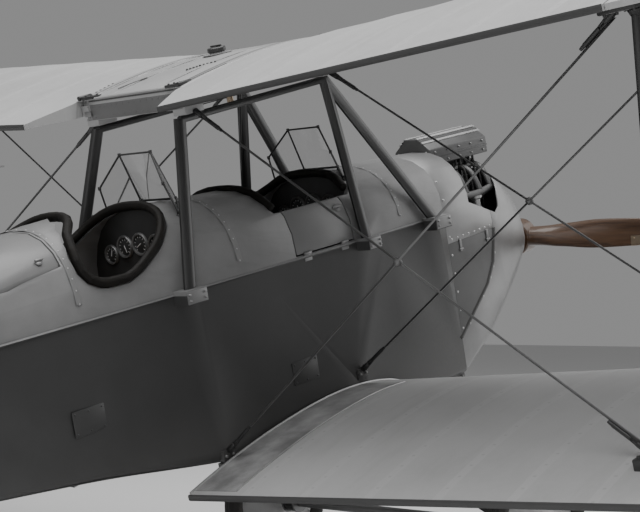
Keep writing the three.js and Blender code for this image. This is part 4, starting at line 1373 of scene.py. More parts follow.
@dataclass
class Assembly:
    """What every sub-assembly shares: the palette, the model's nodes and the list of its pieces."""

    palette: Palette
    nodes: dict[str, Piece]
    pieces: list[Piece] = field(default_factory=list)

    def dress(self, piece: Piece, finish: str, body: str = "root", replaces: Sequence[str] = (),
            matrix: Matrix | None = PARK) -> Piece:
        """Settles a finished piece and gives it its material and body.

        Args:
            piece: The piece, in the flying attitude or in the frame of the matrix.
            finish: Name of the finish in the palette.
            body: The body it rides on.
            replaces: The model's nodes that it stands for.
            matrix: Matrix into the parked frame, or None where the piece is there already.

        Returns:
            The piece.
        """
        if matrix is not None:
            settle(piece, matrix)
        piece.data.materials.clear()
        piece.data.materials.append(self.palette.made[finish])
        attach(piece, body)
        self.palette.slot(finish)
        if replaces:
            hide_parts(*replaces)
        self.pieces.append(piece)
        return piece

    def both(self, make: Callable[[], Piece], name: str, finish: str, matrix: Matrix = PARK) -> None:
        """Makes a port piece and its mirror image to starboard, joined, on the root body."""
        port, starboard = make(), mirrored(make())
        self.dress(join([port, starboard], name), finish, matrix=matrix)

    def merged_copy(self, node: str) -> Piece:
        """A merged copy of one of the model's nodes, its flat faces made whole again.

        Args:
            node: Name of the node.

        Returns:
            The copy, in the parked frame.
        """
        source = self.nodes[node]
        piece = source.copy()
        piece.data = source.data.copy()
        for key in list(piece.keys()):
            del piece[key]
        piece.parent = None
        piece.matrix_world = Matrix.Identity(4)
        bpy.context.scene.collection.objects.link(piece)
        piece.name = f"{node}_finished"
        with editing(piece):
            bpy.ops.mesh.remove_doubles(threshold=2e-5)
            bpy.ops.mesh.dissolve_limited(angle_limit=math.radians(0.6))
        return piece

    def refined(self, node: str, finish: str, body: str = "root", bevel: float = 0.0015,
            angle: float = 32.0) -> Piece:
        """A merged, edge-rounded and smoothly shaded copy that stands for a node of the model.

        Args:
            node: Name of the node.
            finish: Name of the finish.
            body: The body it rides on.
            bevel: Width of the rounded edges.
            angle: Angle in degrees from which they are rounded.

        Returns:
            The dressed piece.
        """
        piece = self.merged_copy(node)
        if bevel:
            soften(piece, bevel, 2, angle)
        smooth(piece, angle)
        return self.dress(piece, finish, body, [node], None)

    def report(self) -> None:
        """Logs each piece with its count of faces."""
        for piece in self.pieces:
            log.info("%s: %s, %d faces", type(self).__name__, piece.name, len(piece.data.polygons))


@dataclass
class Wing(Assembly):
    """The four wing panels with their ailerons: fabric pulled in between the ribs, tapes and edges."""

    sag: float = 0.0035
    sag_start: float = 0.11
    sag_end: float = CHORD - 0.06
    span_step: float = RIB_PITCH / 6
    chord_parts: int = 26
    nose_parts: int = 10
    band_tall: float = 0.024
    walkway: tuple[float, float] = (0.3, 1.34)

    def outline(self, x: float) -> tuple[float, float]:
        """Leading and trailing place at a station of the rounded tip.

        Args:
            x: The station.

        Returns:
            The two places.
        """
        start = HALF_SPAN - TIP_LENGTH
        if x <= start:
            return 0.0, CHORD
        t = min(0.99, (x - start) / TIP_LENGTH)
        bow = 1 - math.sqrt(1 - t * t)
        return bow * CHORD * 0.42, CHORD * (1 - bow * 0.5)

    def skin_point(self, level: Level, x: float, y: float, top: bool) -> Place:
        """A point of the fabric at a station and a distance aft, in the wing's frame.

        Args:
            level: Upper or lower wing.
            x: The station.
            y: Distance aft.
            top: Whether it lies on the upper side.

        Returns:
            The point.
        """
        leading, trailing = self.outline(x)
        chord = trailing - leading
        scale = min(1.0, chord / CHORD * 1.2) * min(1.0, chord / CHORD + 0.1)
        high, low = section(min(1.0, max(0.0, (y - leading) / chord)))
        pull = 0.0
        if self.sag_start < y < self.sag_end:
            cover = math.sin(math.pi * (y - self.sag_start) / (self.sag_end - self.sag_start)) ** 0.5
            pull = self.sag * cover * abs(math.sin(math.pi * (x - level.root) / RIB_PITCH)) ** 0.8
        return (x, y, ((high - pull) if top else (low + pull)) * scale)

    def ring(self, level: Level, x: float, end: float | None) -> list[Place]:
        """Points round the section at a station, as far aft as an end.

        Args:
            level: Upper or lower wing.
            x: The station.
            end: The end, or None for the whole chord.

        Returns:
            The points.
        """
        leading, trailing = self.outline(x)
        reach = (trailing if end is None else end) - leading
        parts = [0.5 * (1 - math.cos(math.pi * i / self.chord_parts)) for i in range(self.chord_parts + 1)]
        upper = [self.skin_point(level, x, leading + part * reach, True) for part in parts]
        lower = [self.skin_point(level, x, leading + part * reach, False) for part in parts[1:]]
        return upper + lower[::-1]

    def build(self) -> None:
        """Makes every wing, its aileron and what is fastened to them."""
        for level in Level:
            for side in Side:
                self.panel(level, side)
                self.aileron(level, side)
                self.edge_band(level, side)
                self.fittings(level, side)
        for side in Side:
            self.step_board(side)

    def place(self, piece: Piece, level: Level, side: Side, finish: str, body: str = "root",
            replaces: Sequence[str] = ()) -> Piece:
        """Mirrors a starboard piece, takes it into the parked frame and dresses it.

        Args:
            piece: The starboard piece.
            level: Upper or lower wing.
            side: Side that it goes to.
            finish: Name of the finish.
            body: The body it rides on.
            replaces: The model's nodes that it stands for.

        Returns:
            The dressed piece.
        """
        if side is Side.RIGHT:
            mirrored(piece)
        return self.dress(piece, finish, body, replaces, level.matrix(side))

    def panel(self, level: Level, side: Side) -> None:
        """The wing from its root to its rounded tip, short of the aileron's slot.

        Args:
            level: Upper or lower wing.
            side: Its side.
        """
        slot = AILERON_HINGE - AILERON_NOSE - MOVING_GAP
        tip = HALF_SPAN - TIP_LENGTH
        inner = level.root
        rows: list[tuple[float, float | None]] = []
        if level is Level.UPPER:
            inner = level.root + ROOT_CUT_WIDE
            for x in stations(level.root, inner, 0.022):
                cut = ROOT_CUT_START + (x - level.root) * (CHORD - ROOT_CUT_START) / ROOT_CUT_WIDE
                rows.append((x, cut))
        rows += [(x, None) for x in stations(inner + 0.0005, AILERON_INNER, self.span_step)]
        stretches = [rows, [(x, slot) for x in stations(AILERON_INNER, AILERON_OUTER, self.span_step)]]
        round_end = [tip + TIP_LENGTH * 0.989 * math.sin(math.pi / 2 * i / 14) for i in range(1, 15)]
        stretches.append([(x, None) for x in (AILERON_OUTER, *round_end) if x == AILERON_OUTER
            or x > AILERON_OUTER + 0.01])
        parts = [lofted("stretch", [self.ring(level, x, end) for x, end in stretch], 50)
            for stretch in stretches]
        wing = join(parts, f"{level.word}_wing_{side.word}_fabric")
        self.place(wing, level, side, f"{level.word}_fabric", replaces=[f"{level.word}_wing_{side.word}"])

    def aileron(self, level: Level, side: Side) -> None:
        """The aileron behind its hinge, with its rounded nose.

        Args:
            level: Upper or lower wing.
            side: Its side.
        """
        count = self.chord_parts // 2
        high, low = section(AILERON_HINGE / CHORD)
        middle = (high + low) / 2
        turns = [math.pi * i / self.nose_parts for i in range(self.nose_parts + 1)]
        nose = [(AILERON_HINGE - AILERON_NOSE * math.sin(a), middle + AILERON_NOSE * math.cos(a))
            for a in turns]

        def ring(x: float) -> list[Place]:
            """Points round the aileron at a station."""
            _, trailing = self.outline(x)
            places = [AILERON_HINGE + (trailing - AILERON_HINGE) * i / count for i in range(1, count + 1)]
            upper = [self.skin_point(level, x, y, True) for y in reversed(places)]
            lower = [self.skin_point(level, x, y, False) for y in places]
            return upper + [(x, y, z) for y, z in nose] + lower

        inner, outer = AILERON_INNER + MOVING_GAP, AILERON_OUTER - MOVING_GAP
        piece = lofted(f"{level.word}_aileron_{side.word}_fabric",
            [ring(x) for x in stations(inner, outer, self.span_step)], 50)
        body = f"{level.word}_aileron_{side.word}"
        self.place(piece, level, side, f"{level.word}_fabric", body, [body])
        horn_x = inner + 0.42
        horn = self.horn(horn_x, middle, -1 if level is Level.UPPER else 1)
        self.place(horn, level, side, "strut_paint", body)

    def horn(self, x: float, middle: float, way: int) -> Piece:
        """The lever on an aileron that its connecting rod would hold.

        Args:
            x: Its station.
            middle: Height of the hinge line.
            way: 1 for a lever above, -1 for one below.

        Returns:
            The lever.
        """
        low, high = sorted((middle + way * 0.012, middle + way * 0.105))
        lever = box("horn", (x - 0.003, AILERON_HINGE - 0.012, low), (x + 0.003, AILERON_HINGE + 0.03, high))
        with editing_faces(lever, lambda centre, _: abs(centre.z - (high if way > 0 else low)) < 0.004):
            bpy.ops.transform.resize(value=(1.0, 0.45, 1.0))
        base = box("foot", (x - 0.022, AILERON_HINGE - 0.012, middle + way * 0.03 - 0.004),
            (x + 0.022, AILERON_HINGE + 0.05, middle + way * 0.03 + 0.004))
        return join([lever, base], "aileron_horn")

    def edge_band(self, level: Level, side: Side) -> None:
        """A dark band along the trailing edge between the root and the aileron, painted as the shade on the
        edge's blunt rear face.

        Args:
            level: Upper or lower wing.
            side: Its side.
        """
        start = level.root + (ROOT_CUT_WIDE if level is Level.UPPER else 0.0) + 0.002
        high, low = section(1.0)
        middle, half = (high + low) / 2, self.band_tall / 2
        ring = [(CHORD - 0.016, half - 0.0015), (CHORD, half), (CHORD + 0.0035, half * 0.5),
            (CHORD + 0.0035, -half * 0.5), (CHORD, -half), (CHORD - 0.016, -half + 0.0015)]
        rings = [[(x, y, middle + z) for y, z in ring] for x in stations(start, AILERON_INNER - 0.004, 0.2)]
        band = lofted(f"{level.word}_edge_band_{side.word}", rings, 50)
        self.place(band, level, side, "edge_tape")

    def fittings(self, level: Level, side: Side) -> None:
        """Strut sockets with bolts and collars, aileron hinge brackets and inspection plates of a wing.

        Args:
            level: Upper or lower wing.
            side: Its side.
        """
        upper = level is Level.UPPER
        away = -1 if upper else 1
        parts = []
        for spar in (FRONT_SPAR, REAR_SPAR):
            z = section(spar / CHORD)[1 if upper else 0] - away * BLOCK_SUNK
            parts.append(box("socket", (BLOCK_INNER, spar - 0.075, z - 0.03),
                (BLOCK_OUTER, spar + 0.075, z + 0.03), 0.006))
            face = z + away * 0.029
            bolts = [((x, spar + dy, face), (0, 0, away)) for dy in (-0.06, 0.06)
                for x in (2.24, 2.285, 2.345)]
            parts.append(studs("bolts", bolts, 0.0075, 0.009, 6))
            collar = [(0.034, 0.0), (0.036, 0.004), (0.03, 0.022), (0.022, 0.03)]
            foot = turned("collar", [(0.0, 0.0), *collar, (0.0, 0.03)], (STRUT_STATION, spar, face),
                (STRUT_STATION, spar, face + away))
            foot.data.transform(Matrix.Translation((0, spar, 0)) @ Matrix.Scale(1.75, 4, (0, 1, 0))
                @ Matrix.Translation((0, -spar, 0)))
            parts.append(foot)
        high, low = section(AILERON_HINGE / CHORD)
        for x in (AILERON_INNER + 0.16, (AILERON_INNER + AILERON_OUTER) / 2, AILERON_OUTER - 0.16):
            parts.append(box("bracket", (x - 0.005, 1.072, low - 0.014), (x + 0.005, 1.118, low + 0.004),
                0.002))
        self.place(join(parts, f"{level.word}_fittings_{side.word}"), level, side, "strut_paint")
        rings = []
        for x, y in ((0.95, 0.78), (1.86, 0.78), (2.72, 0.86), (2.72, 0.4)):
            z = self.skin_point(level, x, y, False)[2]
            rings.append(((x, y, z), (0, 0, -1)))
        plates = studs(f"{level.word}_inspection_plates_{side.word}", rings, 0.052, 0.0024, 24)
        self.place(plates, level, side, f"{level.word}_fabric")

    def step_board(self, side: Side) -> None:
        """The gritted walkway on the lower wing's root, with its edging strip.

        Args:
            side: Its side.
        """
        start, end = self.walkway
        outer = 0.58 if side is Side.RIGHT else 0.46
        rings = []
        for y in stations(start, end, 0.04):
            row = [(x, y, section(y / CHORD)[0]) for x in (0.345, outer - 0.003, outer)]
            lift = (0.0018, 0.0018, -0.002)
            rings.append([(x, y, z + up) for (x, y, z), up in zip(row, lift)] + [(x, y, z - 0.006) for x, y,
                z in (row[2], row[0])])
        self.place(lofted(f"walkway_{side.word}", rings, 30), Level.LOWER, side, "walkway")
        edge = tube("edging", [(outer + 0.003, y, section(y / CHORD)[0] + 0.001)
            for y in stations(start, end, 0.08)], 0.0035)
        root = tube("fillet", [(0.348, y, section(y / CHORD)[0] + 0.002)
            for y in stations(0.02, 1.36, 0.08)], 0.006)
        self.place(join([edge, root], f"walkway_edging_{side.word}"), Level.LOWER, side, "bare_alloy")


@dataclass
class CentreTank(Assembly):
    """The fuel tank between the upper wings, with its rolled lip, straps, filler and fittings."""

    lip: float = 0.0055
    strap: float = 0.03
    filler: tuple[float, float] = (0.06, 0.56)

    def top(self, y: float) -> float:
        """Height of the tank's upper skin."""
        return section(y / CHORD)[0]

    def fit(self, piece: Piece, finish: str) -> None:
        """Dresses a piece that is laid out in the tank's own frame."""
        self.dress(piece, finish, matrix=TANK)

    def flat_strip(self, line: Sequence[Sequence[float]], lift: float, width: float, thick: float) -> Piece:
        """A strip along places of the upper skin, given across and aft."""
        places = [(x, y, self.top(y) + lift) for x, y in line]
        return strip_along("strip", places, [vec(0, 0, 1)] * len(places), width, thick)

    def build(self) -> None:
        """Makes the tank's parts."""
        self.refined("centre_section", "tank", bevel=0.0025)
        self.edges()
        self.straps()
        self.filler_cap()
        self.rear_fittings()

    def edges(self) -> None:
        """The rolled lip, the rear face with its painted shade, groove shadow and rivets, and the upper
        skin's seams.
        """
        high = self.top(TANK_TRAILING)
        y = TANK_TRAILING
        roll = tube("tank_rolled_lip", [(-0.287, y - 0.002, high), (0.287, y - 0.002, high)], self.lip)
        self.fit(roll, "tank")
        # A dark panel over the rear face, painted as the shade that falls on it.
        panel = box("tank_rear_panel", (-0.286, y - 0.001, TANK_BELLY + 0.002),
            (0.286, y + 0.0008, high - 0.024), 0.0006)
        self.fit(panel, "tank_face")
        # A dark strip painted as the shadow in the groove under the rolled lip.
        groove = box("tank_face_groove", (-0.284, y - 0.001, high - 0.0125),
            (0.284, y + 0.0012, high - 0.0065), 0.0008)
        self.fit(groove, "edge_tape")
        rivets = [((x, y + 0.0004, z), (0, 1, 0)) for x in stations(-0.27, 0.27, 0.036)
            for z in (high - 0.032, TANK_BELLY + 0.014)]
        self.fit(studs("tank_face_rivets", rivets, 0.0038, 0.0022), "tank_face")
        seams = [self.flat_strip([(x, at) for at in stations(0.05, 1.12, 0.06)], 0.0, 0.014, 0.0012)
            for x in (-0.14, 0.14)]
        self.fit(join(seams, "tank_top_seams"), "tank")

    def straps(self) -> None:
        """The straps round the tank's ends, the strips over the gaps to the wings, screws and dark strips."""
        parts = []
        for x in (-0.272, 0.272):
            places = [(x, y, self.top(y)) for y in stations(0.02, TANK_TRAILING, 0.05)]
            normals = [vec(0, 0, 1)] * len(places)
            places += [(x, TANK_TRAILING, z) for z in (self.top(TANK_TRAILING) - 0.012, TANK_BELLY + 0.004)]
            normals += [vec(0, 1, 0.3).normalized(), vec(0, 1, 0)]
            parts.append(strip_along("strap", places, normals, self.strap, 0.0018))
            parts.append(box("buckle", (x - 0.019, TANK_TRAILING - 0.001, -0.01),
                (x + 0.019, TANK_TRAILING + 0.009, 0.012)))
        self.fit(join(parts, "tank_straps"), "bare_steel")
        covers = [self.flat_strip([(x, y) for y in stations(0.012, 1.15, 0.05)], 0.0006, 0.04, 0.0014)
            for x in (-0.3025, 0.3025)]
        self.fit(join(covers, "wing_gap_strips"), "tank")
        dots = []
        for path in ([(-0.08, 0.879), (-0.114, 0.836), (-0.165, 0.798)], [(0.3, 1.05), (0.318, 0.94)]):
            for a, b in zip(path, path[1:]):
                row = [between(a, b, t) for t in QUARTERS]
                dots += [((x, y, self.top(y) + 0.001), (0, 0, 1)) for x, y in row]
        self.fit(studs("tank_top_screws", dots, 0.0062, 0.004), "edge_tape")
        strips = [self.flat_strip([between(a, b, t) for t in QUARTERS], 0.0012, 0.013, 0.0018) for a,
            b in (((0.176, 1.037), (0.126, 0.916)), ((-0.297, 1.075), (-0.309, 0.88)))]
        self.fit(join(strips, "tank_top_strips"), "edge_tape")

    def filler_cap(self) -> None:
        """The filler's screwed cap, its lever and the drip ring round its neck."""
        x, y = self.filler
        z = self.top(y)
        profile = [(0.0, 0.032), (0.01, 0.033), (0.014, 0.031), (0.036, 0.03), (0.04, 0.026), (0.04, 0.012),
            (0.036, 0.009), (0.0, 0.009)]
        cap = turned("cap", profile, (x, y, z), (x, y, z + 1), 20)
        lever = box("lever", (x - 0.032, y - 0.005, z + 0.031), (x + 0.032, y + 0.005, z + 0.039), 0.003)
        self.fit(join([cap, lever], "filler_cap"), "strut_paint")
        ring = turned("filler_drip_ring", [(0.04, 0.0), (0.06, -0.001), (0.064, 0.004), (0.058, 0.005),
            (0.044, 0.004), (0.04, 0.0)], (x, y, z), (x, y, z + 1))
        self.fit(ring, "tank")

    def rear_fittings(self) -> None:
        """Dark hinge plates over the rear spar joints, and the gauge below the belly."""
        parts = []
        for side in Side:
            low, high = sorted((side.value * 0.22, side.value * 0.312))
            z = self.top(1.115)
            parts.append(box("plate", (low, 1.092, z - 0.004), (high, 1.146, z + 0.008), 0.003))
            parts.append(rod("pin", (side.value * 0.302, 1.08, z + 0.006),
                (side.value * 0.302, 1.15, z + 0.006), 0.009))
            bolts = [((side.value * x, y, z + 0.008), (0, 0, 1)) for x in (0.235, 0.27)
                for y in (1.104, 1.134)]
            parts.append(studs("bolts", bolts, 0.006, 0.005, 6))
            parts.append(box("front_plate", (low, 0.268, self.top(0.29) - 0.006),
                (high, 0.312, self.top(0.29) + 0.006), 0.003))
            front_bolt = (side.value * 0.3, 0.298, self.top(0.298) + 0.006)
            parts.append(studs("front_bolts", [(front_bolt, (0, 0, 1))], 0.008, 0.006, 6))
        self.fit(join(parts, "wing_root_fittings"), "strut_paint")
        gauge = turned("fuel_gauge_bowl", [(0.0, 0.0), (0.022, 0.0), (0.022, 0.012), (0.014, 0.016),
            (0.014, 0.06), (0.009, 0.066), (0.0, 0.066)], (0.0, 0.6, TANK_BELLY),
            (0.0, 0.6, TANK_BELLY - 1))
        self.fit(gauge, "brass")


@dataclass
class Rigging(Assembly):
    """Struts, wires, the fork ends and barrels at the wires' ends, and the incidence wires."""

    barrel: float = 0.0085
    fork_long: float = 0.05
    barrel_long: float = 0.095
    # columns: part of the barrel's radius, part of its length
    barrel_rows: tuple[tuple[float, float], ...] = ((0.0, 0.0), (0.9, 0.0), (1.0, 0.07), (1.0, 0.79),
        (0.8, 0.83), (0.8, 0.92), (0.65, 1.0), (0.0, 1.0))

    def wing_point(self, level: Level, side: Side, spar: float, station: float) -> Vector:
        """Place in a wing's block, towards the other wing, in the flying attitude.

        Args:
            level: Upper or lower wing.
            side: Its side.
            spar: Distance of the spar aft.
            station: Distance from the middle.

        Returns:
            The place.
        """
        upper = level is Level.UPPER
        away = -1 if upper else 1
        z = section(spar / CHORD)[1 if upper else 0] - away * BLOCK_SUNK + away * 0.018
        return level.flying(side) @ vec(side.value * station, spar, z)

    def fitting(self, name: str, side: Side) -> Vector:
        """Centre of one of the fuselage's fittings."""
        x, y, z = FITTINGS[name][0]
        return vec(side.value * x, y, z)

    def build(self) -> None:
        """Dresses struts and wires and adds their ends."""
        for side in Side:
            for row in ("front", "rear"):
                self.refined(f"strut_{row}_{side.word}", "strut_paint", bevel=0.0, angle=50)
                self.refined(f"wires_{row}_{side.word}", "wire_steel", bevel=0.0, angle=70)
            self.wire_ends(side)
            self.incidence_wires(side)
        self.pitot()

    def end_parts(self, a: Vector, b: Vector, room: float) -> list[Piece]:
        """Fork, barrel and lock nut at the end a of a wire that runs to b, past the room in a block.

        Args:
            a: End that is dressed.
            b: The other end.
            room: Length that is hidden in a block.

        Returns:
            The parts.
        """
        way = (b - a).normalized()
        start = a + way * room
        fork_end = start + way * self.fork_long
        barrel_end = fork_end + way * self.barrel_long
        profile = [(self.barrel * r, self.barrel_long * part) for r, part in self.barrel_rows]
        parts = [turned("barrel", profile, fork_end, barrel_end, 12),
            rod("eye", start - way * 0.022, start + way * 0.022, 0.0125, 12, 0.011)]
        for offset in (-0.0085, 0.0085):
            sideways = way.cross(vec(0, 1, 0)).normalized() * offset
            foot, tip = start - way * 0.012 + sideways, fork_end + way * 0.004 + sideways * 0.4
            parts.append(rod("fork", foot, tip, 0.0052, 8))
        return parts

    def wire_ends(self, side: Side) -> None:
        """Ends of the flying and landing wires at the wings, the tank and the fuselage.

        Args:
            side: Their side.
        """
        parts = []
        rows = (("wire_front", FRONT_SPAR, TANK_BLOCK_FRONT), ("wire_rear", REAR_SPAR, TANK_BLOCK_REAR))
        for name, spar, tank_y in rows:
            body = self.fitting(name, side)
            tank = TANK_FLYING @ vec(side.value * TANK_WIRE[0], tank_y, TANK_WIRE[1])
            high = self.wing_point(Level.UPPER, side, spar, WIRE_STATION)
            low = self.wing_point(Level.LOWER, side, spar, WIRE_STATION)
            for a, b, room in ((body, high, 0.052), (high, body, 0.04), (tank, low, 0.04), (low, tank, 0.04)):
                parts += self.end_parts(a, b, room)
        self.dress(join(parts, f"wire_ends_{side.word}"), "strut_paint")

    def incidence_wires(self, side: Side) -> None:
        """The crossed wires in the bay between the front and rear strut, inboard of them.

        Args:
            side: Their side.
        """
        station = STRUT_STATION - 0.034
        parts = []
        rows = ((FRONT_SPAR, REAR_SPAR, 0.06, 0.004), (REAR_SPAR, FRONT_SPAR, -0.06, -0.004))
        for first, second, nudge, shift in rows:
            a = self.wing_point(Level.UPPER, side, first + nudge, station + shift)
            b = self.wing_point(Level.LOWER, side, second - nudge, station + shift)
            parts += stay(a, b, 0.0032, (0.0, 0.11, 0.0075, 0.0045))
        self.dress(join(parts, f"incidence_wires_{side.word}"), "wire_steel")

    def pitot(self) -> None:
        """The airspeed head on the port front strut: two tubes, their clip and the pipe down the strut."""
        top = self.wing_point(Level.UPPER, Side.LEFT, FRONT_SPAR, STRUT_STATION)
        foot = self.wing_point(Level.LOWER, Side.LEFT, FRONT_SPAR, STRUT_STATION)
        middle = top.lerp(foot, 0.3)
        parts = []
        for dx in (-0.011, 0.011):
            start = middle + vec(dx, -0.05, 0)
            parts.append(rod("head", start, start + vec(0, -0.17, 0), 0.0055, 10, 0.004))
        parts.append(tube("pipe", [middle + vec(0.024, -0.03, 0), top.lerp(foot, 0.5) + vec(0.024, -0.02,
            0), top.lerp(foot, 0.95) + vec(0.024, -0.02, 0)], 0.004))
        clip = box("clip", tuple(middle + vec(-0.024, -0.078, -0.01)),
            tuple(middle + vec(0.024, -0.05, 0.01)), 0.003)
        self.dress(join([*parts, clip], "airspeed_head"), "bare_steel")


@dataclass
class Cabane(Assembly):
    """The struts and bar that carry the tank, their feet and the fuel pipe."""

    pipe: float = 0.006

    def build(self) -> None:
        """Dresses the struts and makes the fittings."""
        for side in Side:
            self.refined(f"cabane_{side.word}", "strut_paint", bevel=0.0, angle=50)
        bolts, plates = [], []
        for name in ("front_cabane", "mid_cabane", "rear_cabane"):
            (x, y, z), (wide, long, tall) = FITTINGS[name]
            outer = x + wide / 2
            bolts += [((outer, y + dy, z + dz), (1, 0, 0)) for dy in (-long * 0.36, long * 0.36)
                for dz in (-tall * 0.2, tall * 0.2)]
            plates.append((outer, y, z, long, tall))

        def feet() -> Piece:
            """Bolted cheek plates on the three feet of one side."""
            parts = [studs("bolts", bolts, 0.008, 0.01, 6)]
            for outer, y, z, long, tall in plates:
                parts.append(box("cheek", (outer - 0.002, y - long * 0.47, z - tall * 0.44),
                    (outer + 0.004, y + long * 0.47, z + tall * 0.44), 0.002))
            return join(parts, "feet")

        self.both(feet, "cabane_feet", "bare_steel")
        down = [TANK_FLYING @ vec(0.2, 0.33, TANK_BELLY + 0.004),
            TANK_FLYING @ vec(0.214, 0.325, TANK_BELLY - 0.06), vec(0.262, 0.188, 1.18),
            vec(0.33, 0.17, 0.88), vec(0.344, 0.19, 0.7), vec(0.336, 0.196, 0.655)]
        self.dress(tube("fuel_pipe", down, self.pipe), "strut_paint")
        tap = turned("fuel_tap", [(0.0, 0.0), (0.016, 0.0), (0.018, 0.006), (0.018, 0.026), (0.01, 0.032),
            (0.0, 0.032)], down[0], down[0] + vec(0.0, 0.0, -1.0), 12)
        self.dress(tap, "brass")


@dataclass
class Fuselage(Assembly):
    """The body with its padded openings, door, locker, beading, taped joints and side plates."""

    bead: float = 0.006
    slack: float = 0.0035
    voxel: float = 0.006
    pressure: float = 4.0
    swell: float = 0.005
    door: tuple[float, float, float] = (0.21, 0.56, 0.668)
    lid: tuple[float, float, float, float] = (1.7, 2.17, -0.247, 0.17)

    def build(self) -> None:
        """Makes the body's parts."""
        self.refined("fuselage", "body_skin", bevel=0.0015)
        self.refined("front_cockpit_door", "decking", "front_cockpit_door", 0.001)
        self.refined("locker_lid", "decking", "locker_lid", 0.001)
        self.coamings()
        self.beading()
        self.seams()
        self.door_furniture()
        self.lid_furniture()
        self.side_details()

    def coamings(self) -> None:
        """The padded leather round both cockpits, swelled by simulation."""
        for name in ("coaming_rear", "coaming_front"):
            roll = self.merged_copy(name)
            roll.name = f"{name}_padding"
            with editing_faces(roll, lambda *_: True):
                bpy.ops.transform.shrink_fatten(value=self.slack)
            puffed(roll, self.voxel, self.pressure, self.swell)
            self.dress(roll, "coaming_leather", replaces=[name], matrix=None)

    def beading(self) -> None:
        """Half-round beads along the upper longerons, over the edge of the decking, and the keel strips."""
        def beads() -> Piece:
            """The port beads."""
            upper = tube("bead", [(skin_x(y, 0.652) + 0.0005, y, 0.652)
                for y in stations(-0.42, 4.35, 0.15)], self.bead)
            keel = tube("keel", [(table_row(BODY, y)[1] - 0.03, y, table_row(BODY, y)[2] - 0.001)
                for y in stations(0.45, 4.9, 0.3)], 0.005)
            return join([upper, keel], "beads")

        self.both(beads, "longeron_beads", "body_skin")
        top = [(0.0, y, table_row(BODY, y)[4]) for y in stations(2.24, 4.34, 0.15)]
        spine = strip_along("spine_tape", top, [vec(0, 0, 1)] * len(top), 0.06, 0.0012)
        self.dress(spine, "decking")

    def hoop(self, y: float, lift: float = 0.0006, low: float = 0.668) -> tuple[list[Place], list[Vector]]:
        """Places over the decking at a station from one longeron to the other, with their normals.

        Args:
            y: The station.
            lift: Height above the skin.
            low: Height below which places are left out.

        Returns:
            The places and the normals.
        """
        places, normals = [], []
        for i in range(25):
            angle = math.pi * i / 24
            _, half, _, shoulder, top = table_row(BODY, y)
            x = half * math.copysign(abs(math.cos(angle)) ** (2 / DECK_POWER), math.cos(angle))
            z = shoulder + (top - shoulder) * math.sin(angle) ** (2 / DECK_POWER)
            if z < low:
                continue
            normal = vec(x / half**2, 0.0, (z - shoulder) / (top - shoulder) ** 2 + 1e-4).normalized()
            places.append((x + normal.x * lift, y, z + normal.z * lift))
            normals.append(normal)
        return places, normals

    def seams(self) -> None:
        """Taped joints of the decking, with their tacks."""
        tapes, tacks = [], []
        for y in (-0.12, 0.88, 1.672, 2.205, 2.75, 3.35, 3.95):
            places, normals = self.hoop(y)
            tapes.append(strip_along("tape", places, normals, 0.026, 0.001))
            tacks += zip(places, normals)
        self.dress(join(tapes, "decking_tapes"), "decking")
        self.dress(studs("decking_tacks", tacks, 0.0036, 0.0022), "bare_alloy")

    def door_furniture(self) -> None:
        """Hinges and latch of the front cockpit's door."""
        y0, y1, low = self.door
        knuckles = []
        for y in (y0 + 0.06, y1 - 0.06):
            x = -skin_x(y, low) - 0.001
            knuckles.append(rod("knuckle", (x, y - 0.022, low - 0.002), (x, y + 0.022, low - 0.002), 0.0065))
            knuckles.append(box("leaf", (x - 0.0015, y - 0.022, low - 0.034),
                (x + 0.0025, y + 0.022, low - 0.004), 0.001))
        self.dress(join(knuckles, "door_hinges"), "bare_steel")
        y, z = y0 + 0.04, 0.812
        normal = across(skin_normal(y, z))
        place = vec(-skin_x(y, z), y, z)
        plate = studs("plate", [(place, normal)], 0.021, 0.003, 20)
        grip = place + normal * 0.012
        handle = rod("handle", grip + vec(0, -0.012, 0), grip + vec(0, 0.04, 0), 0.005, 10)
        stem = rod("stem", place, place + normal * 0.014, 0.006, 10)
        self.dress(join([plate, handle, stem], "door_latch"), "bare_steel", "front_cockpit_door")

    def lid_furniture(self) -> None:
        """Hinges and latches of the locker lid."""
        y0, y1, x0, x1 = self.lid
        knuckles = []
        for y in (y0 + 0.08, y1 - 0.08):
            z = deck_z(x1, y) + 0.01
            knuckles.append(rod("knuckle", (x1 + 0.003, y - 0.03, z + 0.001),
                (x1 + 0.003, y + 0.03, z - 0.003), 0.006))
            knuckles.append(box("leaf", (x1 + 0.004, y - 0.03, deck_z(x1 + 0.022, y) - 0.001),
                (x1 + 0.03, y + 0.03, deck_z(x1 + 0.01, y) + 0.004), 0.001))
        self.dress(join(knuckles, "locker_hinges"), "bare_steel")
        latches = []
        x, normal = x0 + 0.018, vec(-0.62, 0.0, 0.78)
        for y in (y0 + 0.07, y1 - 0.07):
            place = vec(x, y, deck_z(x, y))
            latches.append(studs("plate", [(place, normal)], 0.019, 0.0045, 20))
            turn = place + normal * 0.008
            latches.append(rod("turn", turn + vec(0, -0.017, 0), turn + vec(0, 0.017, 0), 0.0045, 8))
        self.dress(join(latches, "locker_latches"), "bare_steel", "locker_lid")

    def side_details(self) -> None:
        """Inspection plates, the cables' fairleads, lifting bars at the tail, the belly's lacing."""
        def side() -> Piece:
            """The port details."""
            parts = []
            for y, z in ((0.62, 0.2), (1.72, 0.3)):
                x = skin_x(y, z)
                parts.append(box("plate", (x - 0.001, y - 0.075, z - 0.048),
                    (x + 0.003, y + 0.075, z + 0.048), 0.003))
                screws = [((x + 0.003, y + dy, z + dz), (1, 0, 0)) for dy in (-0.063, 0.0, 0.063)
                    for dz in (-0.037, 0.037)]
                parts.append(studs("screws", screws, 0.0048, 0.0025))
            for y, z in ((4.02, 0.56), (4.02, 0.44), (4.1, 0.6)):
                x = skin_x(y, z)
                parts.append(turned("fairlead", [(0.0, -0.002), (0.026, -0.002), (0.02, 0.008),
                    (0.008, 0.012), (0.0, 0.006)], (x, y, z), (x + 1, y + 0.35, z), 16))
            return join(parts, "side")

